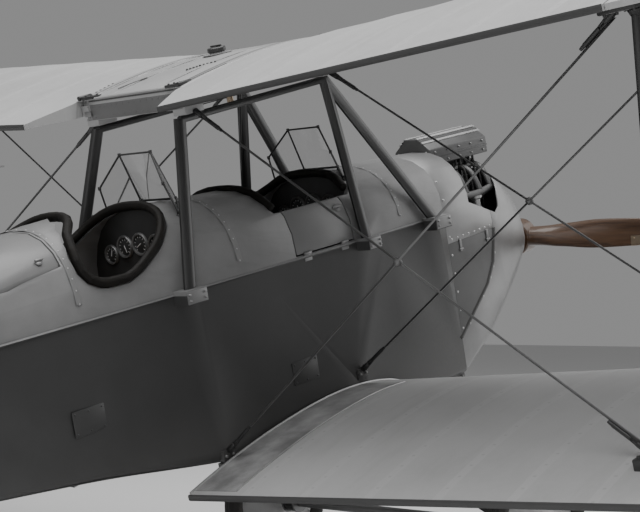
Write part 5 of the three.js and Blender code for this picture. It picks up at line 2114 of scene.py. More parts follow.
        self.both(side, "side_plates_and_fairleads", "body_skin")

        def grip() -> Piece:
            """The port lifting bar near the tail."""
            path = [(0.172, 3.86, 0.385), (0.205, 3.875, 0.38), (0.205, 4.055, 0.398), (0.148, 4.07, 0.404)]
            return tube("grip", path, 0.009)

        self.both(grip, "tail_lifting_bars", "bare_steel")
        lacing = []
        slant = math.radians(-32)
        for y in stations(2.45, 4.25, 0.05):
            z = table_row(BODY, y)[2] - 0.0012
            lacing.append(Matrix.Translation((0, y, z)) @ Matrix.Rotation(slant, 4, "Z"))
            slant = -slant
        stitch = box("stitch", (-0.02, -0.002, -0.0012), (0.02, 0.002, 0.0012), 0.0008)
        self.dress(join(copies(stitch, lacing), "belly_lacing"), "webbing")


@dataclass
class Cockpits(Assembly):
    """Seats, sticks, boards, dials, levers, pedals, harness and windscreens."""

    rim: float = 0.0042

    def build(self) -> None:
        """Makes both cockpits."""
        for place in ("front", "rear"):
            self.refined(f"seat_{place}", "seat_wood", bevel=0.004)
            self.refined(f"panel_{place}", "panel_black", bevel=0.001)
            self.refined(f"stick_{place}", "bare_steel", bevel=0.001, angle=50)
            self.refined(f"windscreen_{place}", "screen", bevel=0.0)
        # columns: cockpit, board's face, height of the dials, stick's foot, seat front, back and height
        rows = (("front", 0.07, 0.79, (0.17, -0.07), (0.3, 0.64, 0.25)),
            ("rear", 1.092, 0.815, (1.12, -0.014), (1.18, 1.56, 0.31)))
        for name, face, height, stick, seat in rows:
            self.dials(name, face, height)
            self.controls(name, stick, face)
            self.harness(name, seat)
        self.screen_frame("front", -0.015, 0.205, 0.19, 0.075)
        self.screen_frame("rear", 0.96, 0.21, 0.2, 0.08)

    def dials(self, name: str, face: float, height: float) -> None:
        """The board's dials: bezels, black faces, pale marks and pointers, and a pair of switches.

        Args:
            name: Front or rear.
            face: Place of the board's face.
            height: Height of the dials.
        """
        bezels, faces, marks = [], [], []
        # columns: x, height above the row, radius, angle of the pointer
        rows = ((-0.185, -0.02, 0.036, 40), (-0.095, 0.01, 0.042, -70), (0.0, 0.018, 0.042, 120),
            (0.095, 0.01, 0.042, 200), (0.185, -0.02, 0.036, -20), (0.0, -0.085, 0.032, 75))
        for x, up, radius, pointer in rows:
            at = vec(x, face, height + up)
            bezels.append(turned("bezel", [(radius - 0.006, 0.002), (radius - 0.004, 0.009),
                (radius + 0.002, 0.01), (radius + 0.006, 0.004), (radius + 0.006, -0.001),
                (radius - 0.006, -0.001), (radius - 0.006, 0.002)], at, at + vec(0, 1, 0)))
            faces.append(studs("face", [(at, (0, 1, 0))], radius - 0.004, 0.004, 24))
            tick = box("tick", (-0.0012, -0.004, radius * 0.62), (0.0012, -0.0028, radius * 0.78), 0.0003)
            face_centre = Matrix.Translation(at + vec(0, 0.0078, 0))
            turns = [face_centre @ Matrix.Rotation(math.radians(a), 4, "Y") for a in range(-135, 136, 30)]
            marks += copies(tick, turns)
            hand = box("pointer", (-0.0016, -0.0036, -radius * 0.16), (0.0016, -0.002, radius * 0.6), 0.0005)
            marks += copies(hand, [face_centre @ Matrix.Rotation(math.radians(pointer), 4, "Y")])
        self.dress(join(bezels, f"dial_bezels_{name}"), "bare_steel")
        self.dress(join(faces, f"dial_faces_{name}"), "panel_black")
        self.dress(join(marks, f"dial_marks_{name}"), "dial_white")
        switches = []
        for x in (-0.245, -0.215):
            at = vec(x, face, height - 0.085)
            switches.append(studs("base", [(at, (0, 1, 0))], 0.012, 0.004, 16))
            switches.append(rod("toggle", at, at + vec(0, 0.016, 0.016), 0.0035, 8, 0.0045))
        self.dress(join(switches, f"switches_{name}"), "bare_steel")

    def controls(self, name: str, stick: tuple[float, float], face: float) -> None:
        """Grip of the stick, throttle quadrant with its levers, and rudder bar.

        Args:
            name: Front or rear.
            stick: Place of the stick and height of its foot.
            face: Place of the board's face.
        """
        y, foot = stick
        top = vec(0.0, y + 0.03, foot + 0.5)
        base = top + vec(0.0, -0.006, -0.115)
        profile = [(0.0, 0.0), (0.017, 0.0)]
        for i in range(5):
            profile += [(0.0195, 0.008 + i * 0.021), (0.0165, 0.019 + i * 0.021)]
        profile += [(0.019, 0.116), (0.016, 0.128), (0.0, 0.131)]
        self.dress(turned(f"stick_grip_{name}", profile, base, top, 16), "rubber_tube")
        x = skin_x(face + 0.2, 0.6) - 0.022
        parts = [box("quadrant", (x - 0.012, face + 0.14, 0.545), (x + 0.004, face + 0.26, 0.625), 0.006)]
        for dx, dy in ((-0.016, 0.012), (-0.03, -0.014)):
            start = vec(x + dx, face + 0.2, 0.585)
            end = start + vec(0, dy - 0.02, 0.082)
            parts.append(rod("lever", start, end, 0.0038, 8))
            parts.append(studs("knob", [(end, (0, 0, 1))], 0.011, 0.009, 14))
        self.dress(join(parts, f"throttle_{name}"), "brass")
        bar_y = face - 0.13
        floor = table_row(BODY, bar_y)[2] + 0.016
        parts = [box("bar", (-0.18, bar_y - 0.016, floor + 0.1), (0.18, bar_y + 0.016, floor + 0.124),
            0.006), rod("post", (0, bar_y, floor + 0.001), (0, bar_y, floor + 0.13), 0.016)]
        for side in (-1, 1):
            path = [(side * x, bar_y - 0.004, floor + z) for x, z in ((0.18, 0.112), (0.196, 0.15),
                (0.176, 0.176))]
            parts.append(tube("toe", path, 0.006))
        self.dress(join(parts, f"rudder_bar_{name}"), "bare_steel")

    def harness(self, name: str, seat: tuple[float, float, float]) -> None:
        """Lap straps laid across the seat, with their buckle.

        Args:
            name: Front or rear.
            seat: Front, back and height of the seat.
        """
        front, back, height = seat
        z = height + 0.02
        straps = []
        for side in (-1, 1):
            places = [(side * 0.204, back - 0.075, height - 0.02), (side * 0.208, back - 0.085, z + 0.004),
                (side * 0.17, back - 0.11, z + 0.01), (side * 0.1, back - 0.15, z + 0.006),
                (side * 0.03, back - 0.18, z + 0.012)]
            normals = [vec(side, 0, 0.1), vec(side * 0.7, 0, 0.7), *[vec(0, 0, 1)] * 3]
            straps.append(strip_along("strap", places, [n.normalized() for n in normals], 0.044, 0.003))
        self.dress(join(straps, f"lap_straps_{name}"), "webbing")
        frame = box("buckle", (-0.036, back - 0.212, z + 0.012), (0.036, back - 0.15, z + 0.021), 0.004)
        with editing_faces(frame, lambda _, normal: normal.z > 0.95):
            bpy.ops.mesh.inset(thickness=0.006)
            bpy.ops.transform.translate(value=(0, 0, -0.004))
        frame.name = f"harness_buckle_{name}"
        self.dress(frame, "bare_steel")

    def screen_frame(self, name: str, y: float, half: float, height: float, rake: float) -> None:
        """The metal edging of a windscreen's three panes and its feet on the decking.

        Args:
            name: Front or rear.
            y: Place of its foot.
            half: Half width of the screen.
            height: Its height.
            rake: How far its head lies aft of its foot.
        """
        middle = vec(0.0, 0.0025, 0.0)
        inner = vec(half * 0.5, y, deck_z(0.0, y) + 0.007) + middle
        outer = vec(half, y + 0.09, deck_z(half, y + 0.09) + 0.007) + middle
        rise = vec(-half * 0.5 * 0.1, rake, height)
        outer_head = outer + rise * 0.6 + (inner - outer) * 0.1
        inner_head = inner + rise
        lines = [[inner, inner_head], [across(inner), across(inner_head)]]
        parts = [tube("post", line, self.rim) for line in lines]
        corners = [outer, outer_head, inner_head]
        loop = corners + [across(p) for p in reversed(corners)]
        for a, b in zip(loop, loop[1:]):
            parts.append(tube("edge", [a, b], self.rim))
        foot = [outer, inner, across(inner), across(outer)]
        for a, b in zip(foot, foot[1:]):
            parts.append(tube("foot", [a, b], self.rim + 0.001))
        for place in (*loop, *foot):
            parts.append(rod("corner", place - vec(0, 0, 0.007), place + vec(0, 0, 0.007), 0.0068, 10))
        for place in (outer, inner, across(outer), across(inner)):
            low = vec(place.x, place.y, deck_z(place.x, place.y) - 0.002)
            parts.append(rod("leg", low, place, 0.006, 10))
            parts.append(studs("flange", [(low + vec(0, 0, 0.002), (0, 0, 1))], 0.014, 0.003, 14))
        self.dress(join(parts, f"windscreen_frame_{name}"), "strut_paint")


@dataclass
class Nose(Assembly):
    """Cowling with its seams and fasteners, the engine's fittings and the exhaust's clamps."""

    fastener: float = 0.0065
    seam_pitch: float = 0.052
    pushrod: float = 0.0065
    slope: tuple[float, float] = (0.612, 0.791)

    def build(self) -> None:
        """Makes the nose's parts."""
        for side in Side:
            self.refined(f"cowl_lower_{side.word}", "lower_cowling", bevel=0.0012)
        for node in ("cowl_upper", "nose_cowl"):
            self.refined(node, "cowling", bevel=0.0012)
        self.refined("engine", "engine_metal", bevel=0.0015)
        self.refined("head_cover", "lower_cowling", bevel=0.006)
        self.refined("exhaust_pipe", "exhaust_steel", bevel=0.0, angle=50)
        self.seam_lines()
        self.slots()
        self.head_strips()
        self.valve_gear()
        self.ignition()
        self.induction()
        self.exhaust_fittings()

    def seam_lines(self) -> None:
        """Fasteners along the seams, and a raised lap and a dark strip painted as the shadow in the seam
        along the nose bowl's edge.
        """
        edge = [between(a, b, t) for a, b in zip(BOWL_EDGE, BOWL_EDGE[1:]) for t in QUARTERS[:-1]]
        edge.append(BOWL_EDGE[-1])

        def fasteners() -> Piece:
            """The port fasteners."""
            rows = [(y, COWL_SEAM + 0.016) for y in stations(-0.8, -0.46, self.seam_pitch)]
            rows += [(y - 0.022, z) for y, z in edge[1::2]]
            rows += [(-0.445, z) for z in stations(0.12, 0.8, 0.085)]
            return studs("fasteners", [((skin_x(y, z), y, z), skin_normal(y, z)) for y, z in rows],
                self.fastener, 0.0028, 12)

        self.both(fasteners, "cowl_fasteners", "bare_alloy")

        def strip(ahead: float, lift: float, width: float, thick: float) -> Piece:
            """A strip along the port seam, some way ahead of it."""
            places = [(skin_x(y - ahead, z) + lift, y - ahead, z) for y, z in edge]
            return strip_along("strip", places, [skin_normal(y, z) for y, z in edge], width, thick)

        self.both(lambda: strip(0.013, 0.0004, 0.008, 0.0016), "cowl_lap_strips", "lower_cowling")
        # A dark strip in the seam's gap, painted as the shadow that falls there.
        self.both(lambda: strip(0.0, 0.0003, 0.017, 0.001), "cowl_seam_strips", "rubber_tube")

    def slots(self) -> None:
        """Louvres in the port lower cowl, the ring round the shaft and the upper panel's toggle catches."""
        louvres = []
        for i in range(6):
            y, z = -0.64 + i * 0.034, 0.3
            x = skin_x(y, z)
            louvre = box("louvre", (x - 0.006, y - 0.011, z - 0.07), (x + 0.005, y + 0.011, z + 0.07), 0.003)
            with editing_faces(louvre, lambda _, normal: normal.y < -0.9):
                bpy.ops.transform.translate(value=(-0.005, 0.0, 0.0))
            louvres.append(louvre)
        self.dress(join(louvres, "cowl_louvres"), "lower_cowling")
        ring = turned("shaft_ring", [(0.058, 0.0), (0.07, -0.001), (0.076, 0.006), (0.07, 0.012),
            (0.058, 0.01), (0.058, 0.0)], (0, -1.301, SHAFT_Z), (0, -2.0, SHAFT_Z), 32)
        self.dress(ring, "bare_alloy")

        def catches() -> Piece:
            """The port toggle catches."""
            parts = []
            for y in (-0.76, -0.52):
                x = skin_x(y, COWL_SEAM)
                parts.append(box("catch", (x - 0.001, y - 0.008, COWL_SEAM - 0.05),
                    (x + 0.006, y + 0.008, COWL_SEAM + 0.006), 0.002))
                parts.append(rod("hook", (x + 0.006, y - 0.013, COWL_SEAM - 0.04),
                    (x + 0.006, y + 0.013, COWL_SEAM - 0.04), 0.004, 8))
            return join(parts, "catches")

        self.both(catches, "cowl_catches", "bare_steel")

    def head_strips(self) -> None:
        """Light strips on the head cover's slopes with a dark strip painted as the groove's shade between,
        its joint and its bolts.
        """
        light, lines = [], []
        for side in (-1, 1):
            way = vec(side * self.slope[0], 0.0, self.slope[1])
            # The middle strip on each slope is dark, painted as the shade in the groove; the joints are dark
            # joint lines.
            for x, z, row in ((0.038, 0.981, light), (0.052, 0.97, lines), (0.066, 0.9593, light)):
                thick = 0.004 if row is light else 0.0012
                row.append(strip_along("strip", [(side * x, y, z) for y in (-1.1, -0.652)], [way] * 2,
                    0.014, thick))
            x = side * 0.109
            lines.append(box("joint", (x - 0.002, -1.094, 0.884), (x + 0.002, -0.656, 0.892), 0.0015))
        self.dress(join(light, "head_cover_strips"), "bare_alloy")
        self.dress(join(lines, "head_cover_grooves"), "edge_tape")
        bolts = [((side * 0.108, y, z), (side, 0, 0)) for side in (-1, 1)
            for y in stations(-1.06, -0.69, 0.0925) for z in (0.866, 0.91)]
        bolts += [((x, -0.654, z), (0, 1, 0)) for x in (-0.085, 0.085) for z in (0.87, 0.915)]
        self.dress(studs("head_cover_bolts", bolts, 0.007, 0.006, 6), "bare_steel")

    def valve_gear(self) -> None:
        """Pushrod tubes, hold-down studs and baffles beside the cylinders."""
        rods, base, baffles = [], [], []
        for y in CYLINDERS:
            for dy in (-0.016, 0.016):
                rods.append(rod("tube", (-0.064, y + dy, 0.448), (-0.064, y + dy, 0.85), self.pushrod, 10))
                base.append(rod("cup", (-0.064, y + dy, 0.44), (-0.064, y + dy, 0.47), 0.0115, 12, 0.0085))
            for x in (-0.056, 0.056):
                for dy in (-0.04, 0.04):
                    base.append(rod("stud", (x, y + dy, 0.44), (x, y + dy, 0.466), 0.006, 6))
            baffles.append(box("baffle", (0.058, y - 0.045, 0.5), (0.062, y + 0.045, 0.78), 0.0015))
        self.dress(join(rods, "pushrod_tubes"), "lower_cowling")
        self.dress(join(base, "cylinder_base_nuts"), "bare_steel")
        self.dress(join(baffles, "cylinder_baffles"), "bare_alloy")

    def ignition(self) -> None:
        """Sparking plugs, their leads, the conduit they leave, and the magneto."""
        plugs, leads = [], []
        x, z = -0.125, 0.56
        for y in CYLINDERS:
            start = vec(-0.046, y + 0.028, 0.8)
            plug = [(0.0, 0.0), (0.0095, 0.0), (0.0095, 0.01), (0.0065, 0.012), (0.0065, 0.036),
                (0.003, 0.044), (0.0, 0.044)]
            plugs.append(turned("plug", plug, start, start + vec(-1.0, 0.0, 0.35), 10))
            tip = start + vec(-0.94, 0.0, 0.33).normalized() * 0.04
            path = [tip, tip + vec(-0.035, 0.004, 0.004), tip + vec(-0.055, 0.012, -0.06),
                vec(x - 0.004, y + 0.03, 0.64), vec(x, y + 0.03, z)]
            leads.append(tube("lead", path, 0.0042))
        leads.append(tube("conduit", [(x, -1.02, z), (x, -0.8, z), (x, -0.64, z - 0.01),
            (-0.1, -0.56, 0.52)], 0.011))
        self.dress(join(plugs, "sparking_plugs"), "dial_white")
        self.dress(join(leads, "plug_leads"), "rubber_tube")
        magneto = turned("body", [(0.0, 0.0), (0.04, 0.0), (0.046, 0.01), (0.046, 0.07), (0.036, 0.084),
            (0.02, 0.09), (0.0, 0.09)], (-0.078, -0.56, 0.5), (-0.078, 0.0, 0.5), 20)
        foot = box("foot", (-0.125, -0.56, 0.44), (-0.03, -0.48, 0.462), 0.004)
        self.dress(join([magneto, foot], "magneto"), "engine_metal")

    def induction(self) -> None:
        """The induction pipe to starboard, its four branches and the carburettor below it."""
        trunk = [(-0.168, -1.00, 0.69), (-0.176, -0.92, 0.676), (-0.176, -0.8, 0.676), (-0.168, -0.7, 0.69)]
        parts = [tube("trunk", trunk, 0.019, 16)]
        for y in CYLINDERS:
            joined = max(-0.99, min(-0.71, y))
            parts.append(tube("branch", [(-0.05, y, 0.812), (-0.105, y, 0.806), (-0.15, joined, 0.76),
                (-0.172, joined, 0.692)], 0.0145, 12))
            parts.append(box("flange", (-0.062, y - 0.034, 0.792), (-0.05, y + 0.034, 0.832), 0.004))
        self.dress(join(parts, "induction_pipe"), "lower_cowling")
        bowl = turned("bowl", [(0.0, 0.0), (0.026, 0.0), (0.03, 0.006), (0.03, 0.05), (0.02, 0.06),
            (0.02, 0.096), (0.03, 0.102), (0.03, 0.112), (0.0, 0.112)], (-0.176, -0.86, 0.556),
            (-0.176, -0.86, 1.0))
        link = rod("link", (-0.176, -0.86, 0.6), (-0.13, -0.7, 0.56), 0.004, 8)
        self.dress(join([bowl, link], "carburettor"), "bare_alloy")

    def exhaust_fittings(self) -> None:
        """Port flanges, clamps and stays of the exhaust, and the lip at its outlet."""
        parts = []
        for y in CYLINDERS:
            parts.append(box("flange", (0.05, y - 0.036, 0.694), (0.062, y + 0.036, 0.738), 0.004))
        for y in (-0.3, 0.25, 0.85):
            z = 0.445 + (y + 0.2) / 1.35 * -0.03
            ring = [(0.031, -0.013), (0.0345, -0.013), (0.0345, 0.013), (0.031, 0.013), (0.031, -0.013)]
            parts.append(turned("clamp", ring, (0.39, y, z), (0.39, y + 1, z - 0.022), 20))
            reach = skin_x(y, z - 0.04) - 0.001
            parts.append(box("stay", (reach, y - 0.01, z - 0.048), (0.384, y + 0.01, z - 0.028), 0.003))
            parts.append(studs("foot", [((reach, y, z - 0.038), (1, 0, 0))], 0.022, 0.004, 14))
        lip = [(0.0255, 0.0), (0.034, 0.0), (0.036, 0.006), (0.034, 0.014), (0.029, 0.014), (0.0255, 0.0)]
        parts.append(turned("lip", lip, (0.39, 1.142, 0.4152), (0.39, 2.142, 0.393), 20))
        self.dress(join(parts, "exhaust_clamps_and_stays"), "exhaust_steel")


@dataclass
class Propeller(Assembly):
    """The two laminated blades, their boss, the brass tip sheaths and the hub's bolts."""

    # columns: part of the radius, blade width, thickness, pitch angle in degrees
    blade: tuple[tuple[float, float, float, float], ...] = ((0.0, 0.12, 0.086, 60),
        (0.13, 0.118, 0.074, 52), (0.28, 0.132, 0.04, 38), (0.5, 0.148, 0.028, 26),
        (0.75, 0.134, 0.018, 18), (0.92, 0.098, 0.012, 14), (1.0, 0.036, 0.008, 12))
    sides: int = 24
    boss: float = 0.088
    bolt_circle: float = 0.06
    sheath_start: float = 0.72

    def row(self, part: float) -> tuple[float, float, float]:
        """Width, thickness and pitch at a part of the radius, eased between the table's rows.

        Args:
            part: Part of the radius.

        Returns:
            The three values.
        """
        after = next(i for i, row in enumerate(self.blade) if row[0] >= part and i > 0)
        rows = [self.blade[max(0, min(len(self.blade) - 1, after + k))] for k in (-2, -1, 0, 1)]
        t = (part - rows[1][0]) / (rows[2][0] - rows[1][0])
        values = []
        for k in (1, 2, 3):
            a, b, c, d = (row[k] for row in rows)
            low = (c - a) / 2 * 0.6
            high = (d - b) / 2 * 0.6
            values.append((2 * t**3 - 3 * t**2 + 1) * b + (t**3 - 2 * t**2 + t) * low
                + (3 * t**2 - 2 * t**3) * c + (t**3 - t**2) * high)
        return values[0], values[1], values[2]

    def ring(self, sign: int, part: float, grow: float = 0.0, clip: float = -2.0) -> list[Place]:
        """Points round the blade at a part of the radius, grown for a sheath over its leading part.

        Args:
            sign: Which blade.
            part: Part of the radius.
            grow: How far it is grown.
            clip: Least chordwise place that is kept, in half chords.

        Returns:
            The points.
        """
        wide, thick, pitch = self.row(part)
        turn = math.radians(pitch)
        points = []
        for cosine, sine in circle(self.sides):
            around = max(clip, cosine) * (wide / 2 + grow)
            through = sine * (thick / 2 + grow)
            y = around * math.sin(turn) + through * math.cos(turn)
            z = around * math.cos(turn) - through * math.sin(turn)
            points.append((sign * part * PROP_RADIUS, PROP_Y + y * 0.8, SHAFT_Z + sign * z))
        return points

    def build(self) -> None:
        """Makes the propeller on its body."""
        rim = self.boss
        boss_profile = [(0.041, -0.043), (rim - 0.006, -0.043), (rim, -0.037), (rim, 0.037),
            (rim - 0.006, 0.043), (0.041, 0.043), (0.041, -0.043)]
        parts = [turned("boss", boss_profile, (0, PROP_Y, SHAFT_Z), (0, PROP_Y + 1, SHAFT_Z), 40)]
        for sign in (1, -1):
            places = [0.062 + 0.938 * i / 34 for i in range(35)]
            parts.append(lofted("blade", [self.ring(sign, min(1.0, part)) for part in places], 60))
        self.dress(join(parts, "propeller_blades"), "propeller_wood", "propeller", ["propeller"])
        sheaths = []
        for sign in (1, -1):
            rings = [self.ring(sign, part, 0.0012, 0.3) for part in stations(self.sheath_start, 0.999, 0.02)]
            sheaths.append(lofted("sheath", rings, 60))
            for part in stations(self.sheath_start + 0.02, 0.96, 0.04):
                wide, thick, pitch = self.row(part)
                turn, offset, half = math.radians(pitch), wide * 0.24, thick * 0.42
                place = Vector((sign * part * PROP_RADIUS, PROP_Y + offset * math.sin(turn) * 0.8,
                    SHAFT_Z + sign * offset * math.cos(turn)))
                way = vec(0, math.cos(turn), -sign * math.sin(turn))
                sheaths.append(studs("tacks", [(place + way * half, way), (place - way * half, -way)],
                    0.004, 0.0016))
        self.dress(join(sheaths, "propeller_tip_sheaths"), "brass", "propeller")
        self.refined("propeller_hub", "bare_steel", "propeller", 0.003)
        bolts = []
        for cosine, sine in circle(8):
            x, z = self.bolt_circle * cosine, SHAFT_Z + self.bolt_circle * sine
            bolts.append(((x, PROP_Y - 0.057, z), (0, -1, 0)))
            bolts.append(((x, PROP_Y + 0.043, z), (0, 1, 0)))
        nut = studs("nut", [((0, PROP_Y - 0.079, SHAFT_Z), (0, -1, 0))], 0.03, 0.016, 6)
        self.dress(join([studs("bolts", bolts, 0.0095, 0.01, 6), nut], "propeller_bolts"), "bare_steel",
            "propeller")


@dataclass
class Undercarriage(Assembly):
    """Wheels, tyres, legs, axle and the wires that brace them."""

    tyre_half: float = 0.05
    ribs: int = 5
    groove: float = 0.0035
    eyelets: int = 24
    eyelet_circle: float = 0.226
    cover_half: float = 0.0205

    def build(self) -> None:
        """Makes both sides."""
        self.refined("axle", "bare_steel", bevel=0.003)
        for side in Side:
            self.refined(f"gear_leg_{side.word}", "strut_paint", bevel=0.0, angle=50)
            self.refined(f"wheel_{side.word}", "wheel_cover", f"wheel_{side.word}", 0.004)
            self.tyre(side)
            self.wheel_details(side)
            self.leg_details(side)
        self.brace_wires()

    def tyre(self, side: Side) -> None:
        """A tyre with five ribs round its tread.

        Args:
            side: Its side.
        """
        centre = vec(side.value * WHEEL.x, WHEEL.y, WHEEL.z)
        tread = self.tyre_half / 1.25
        profile = []
        for i in range(61):
            angle = math.tau * i / 60
            radius = WHEEL_RADIUS - tread + tread * math.cos(angle)
            across_tread = self.tyre_half * math.sin(angle)
            if math.cos(angle) > 0.35:
                rib = 0.5 - 0.5 * math.cos(across_tread / self.tyre_half * math.pi * self.ribs)
                radius -= self.groove * (1 - rib)
            profile.append((radius - 0.0005, across_tread))
        piece = turned(f"tyre_{side.word}_tread", profile, centre, centre + vec(side.value, 0, 0), 64)
        self.dress(piece, "tyre_rubber", f"wheel_{side.word}", [f"tyre_{side.word}"])

    def wheel_details(self, side: Side) -> None:
        """The lacing ring, valve patch, hub ring and axle nut of a wheel.

        Args:
            side: The wheel's side.
        """
        out = side.value
        centre = vec(out * WHEEL.x, WHEEL.y, WHEEL.z)
        body = f"wheel_{side.word}"
        eyelets = []
        for cosine, sine in circle(self.eyelets):
            place = centre + vec(0, cosine, sine) * self.eyelet_circle
            eyelets += [(place + vec(way * self.cover_half, 0, 0), (way, 0, 0)) for way in (out, -out)]
        self.dress(studs(f"wheel_eyelets_{side.word}", eyelets, 0.0065, 0.003, 10), "bare_alloy", body)
        caps = []
        for way in (out, -out):
            reach = 0.07 if way == out else 0.078
            start = centre + vec(way * (reach - 0.002), 0, 0)
            ring = [(0.0232, 0.0), (0.05, 0.0), (0.052, 0.005), (0.044, 0.012), (0.0232, 0.012),
                (0.0232, 0.0)]
            caps.append(turned("ring", ring, start, start + vec(way, 0, 0), 24))
            bolts = []
            for cosine, sine in circle(6):
                bolts.append((start + vec(way * 0.01, 0.038 * cosine, 0.038 * sine), (way, 0, 0)))
            caps.append(studs("bolts", bolts, 0.0048, 0.004, 6))
        self.dress(join(caps, f"hub_rings_{side.word}"), "bare_alloy", body)
        place = centre + vec(out * 0.03, 0.0, 0.165)
        patch = turned("patch", [(0.0, 0.004), (0.01, 0.005), (0.013, 0.002), (0.026, 0.001),
            (0.03, -0.004), (0.0, -0.006)], place, place + vec(out, 0.0, 0.13), 20)
        stem = rod("stem", place, place + vec(out * 0.022, 0, 0.006), 0.004, 8)
        self.dress(join([patch, stem], f"valve_{side.word}"), "brass", body)
        end = vec(out * (WHEEL.x + 0.084), WHEEL.y, WHEEL.z)
        nut = studs("nut", [(end, (out, 0, 0))], 0.03, 0.012, 6)
        pin = rod("pin", end + vec(out * 0.004, 0, -0.034), end + vec(out * 0.004, 0, 0.034), 0.0028, 8)
        self.dress(join([nut, pin], f"axle_nut_{side.word}"), "bare_steel")

    def leg_details(self, side: Side) -> None:
        """Bands on the sprung front leg, the collar at the axle and the bolts at the leg's heads.

        Args:
            side: The legs' side.
        """
        foot = vec(side.value * LEG_X, WHEEL.y, WHEEL.z)
        head = Vector(FITTINGS["gear_front"][0])
        head.x *= side.value
        way = (head - foot).normalized()
        sideways = vec(0, 1, 0).cross(way).normalized()
        turn = Matrix((sideways, way.cross(sideways), way)).transposed().to_4x4()
        stretch = Matrix.Scale(LEG_CHORD / LEG_THICK, 4, (0, 1, 0))
        bands = []
        for t in (0.16, 0.34, 0.52, 0.7):
            profile = [(0.0236, -0.009), (0.0252, -0.006), (0.0252, 0.006), (0.0236, 0.009), (0.0236, -0.009)]
            band = turned("band", profile, (0, 0, 0), (0, 0, 1), 28)
            band.data.transform(Matrix.Translation(foot.lerp(head, t)) @ turn @ stretch)
            bands.append(band)
        for x in (LEG_X - 0.036, LEG_X + 0.036):
            centre = vec(side.value * x, WHEEL.y, WHEEL.z)
            collar = [(0.0228, -0.005), (0.05, -0.005), (0.052, 0.0), (0.05, 0.005), (0.0228, 0.005),
                (0.0228, -0.005)]
            bands.append(turned("collar", collar, centre, centre + vec(1, 0, 0), 24))
        bolts = []
        for name in ("gear_front", "gear_rear", "wire_front", "wire_rear"):
            (x, y, z), (wide, long, _) = FITTINGS[name]
            for dy in (-long * 0.3, long * 0.3):
                bolts.append(((side.value * (x + wide / 2), y + dy, z), (side.value, 0, 0)))
        bands.append(studs("bolts", bolts, 0.0075, 0.008, 6))
        self.dress(join(bands, f"leg_bands_{side.word}"), "bare_steel")

    def brace_wires(self) -> None:
        """The crossed wires between the legs, below the fuselage."""
        parts = []
        for side in Side:
            low = vec(side.value * (LEG_X - 0.045), WHEEL.y - 0.03 * side.value, WHEEL.z + 0.05)
            high = vec(-side.value * 0.262, -0.335 - 0.03 * side.value, -0.118)
            parts += stay(low, high, 0.0034, (0.012, 0.12, 0.008, 0.005))
        self.dress(join(parts, "undercarriage_brace_wires"), "wire_steel")


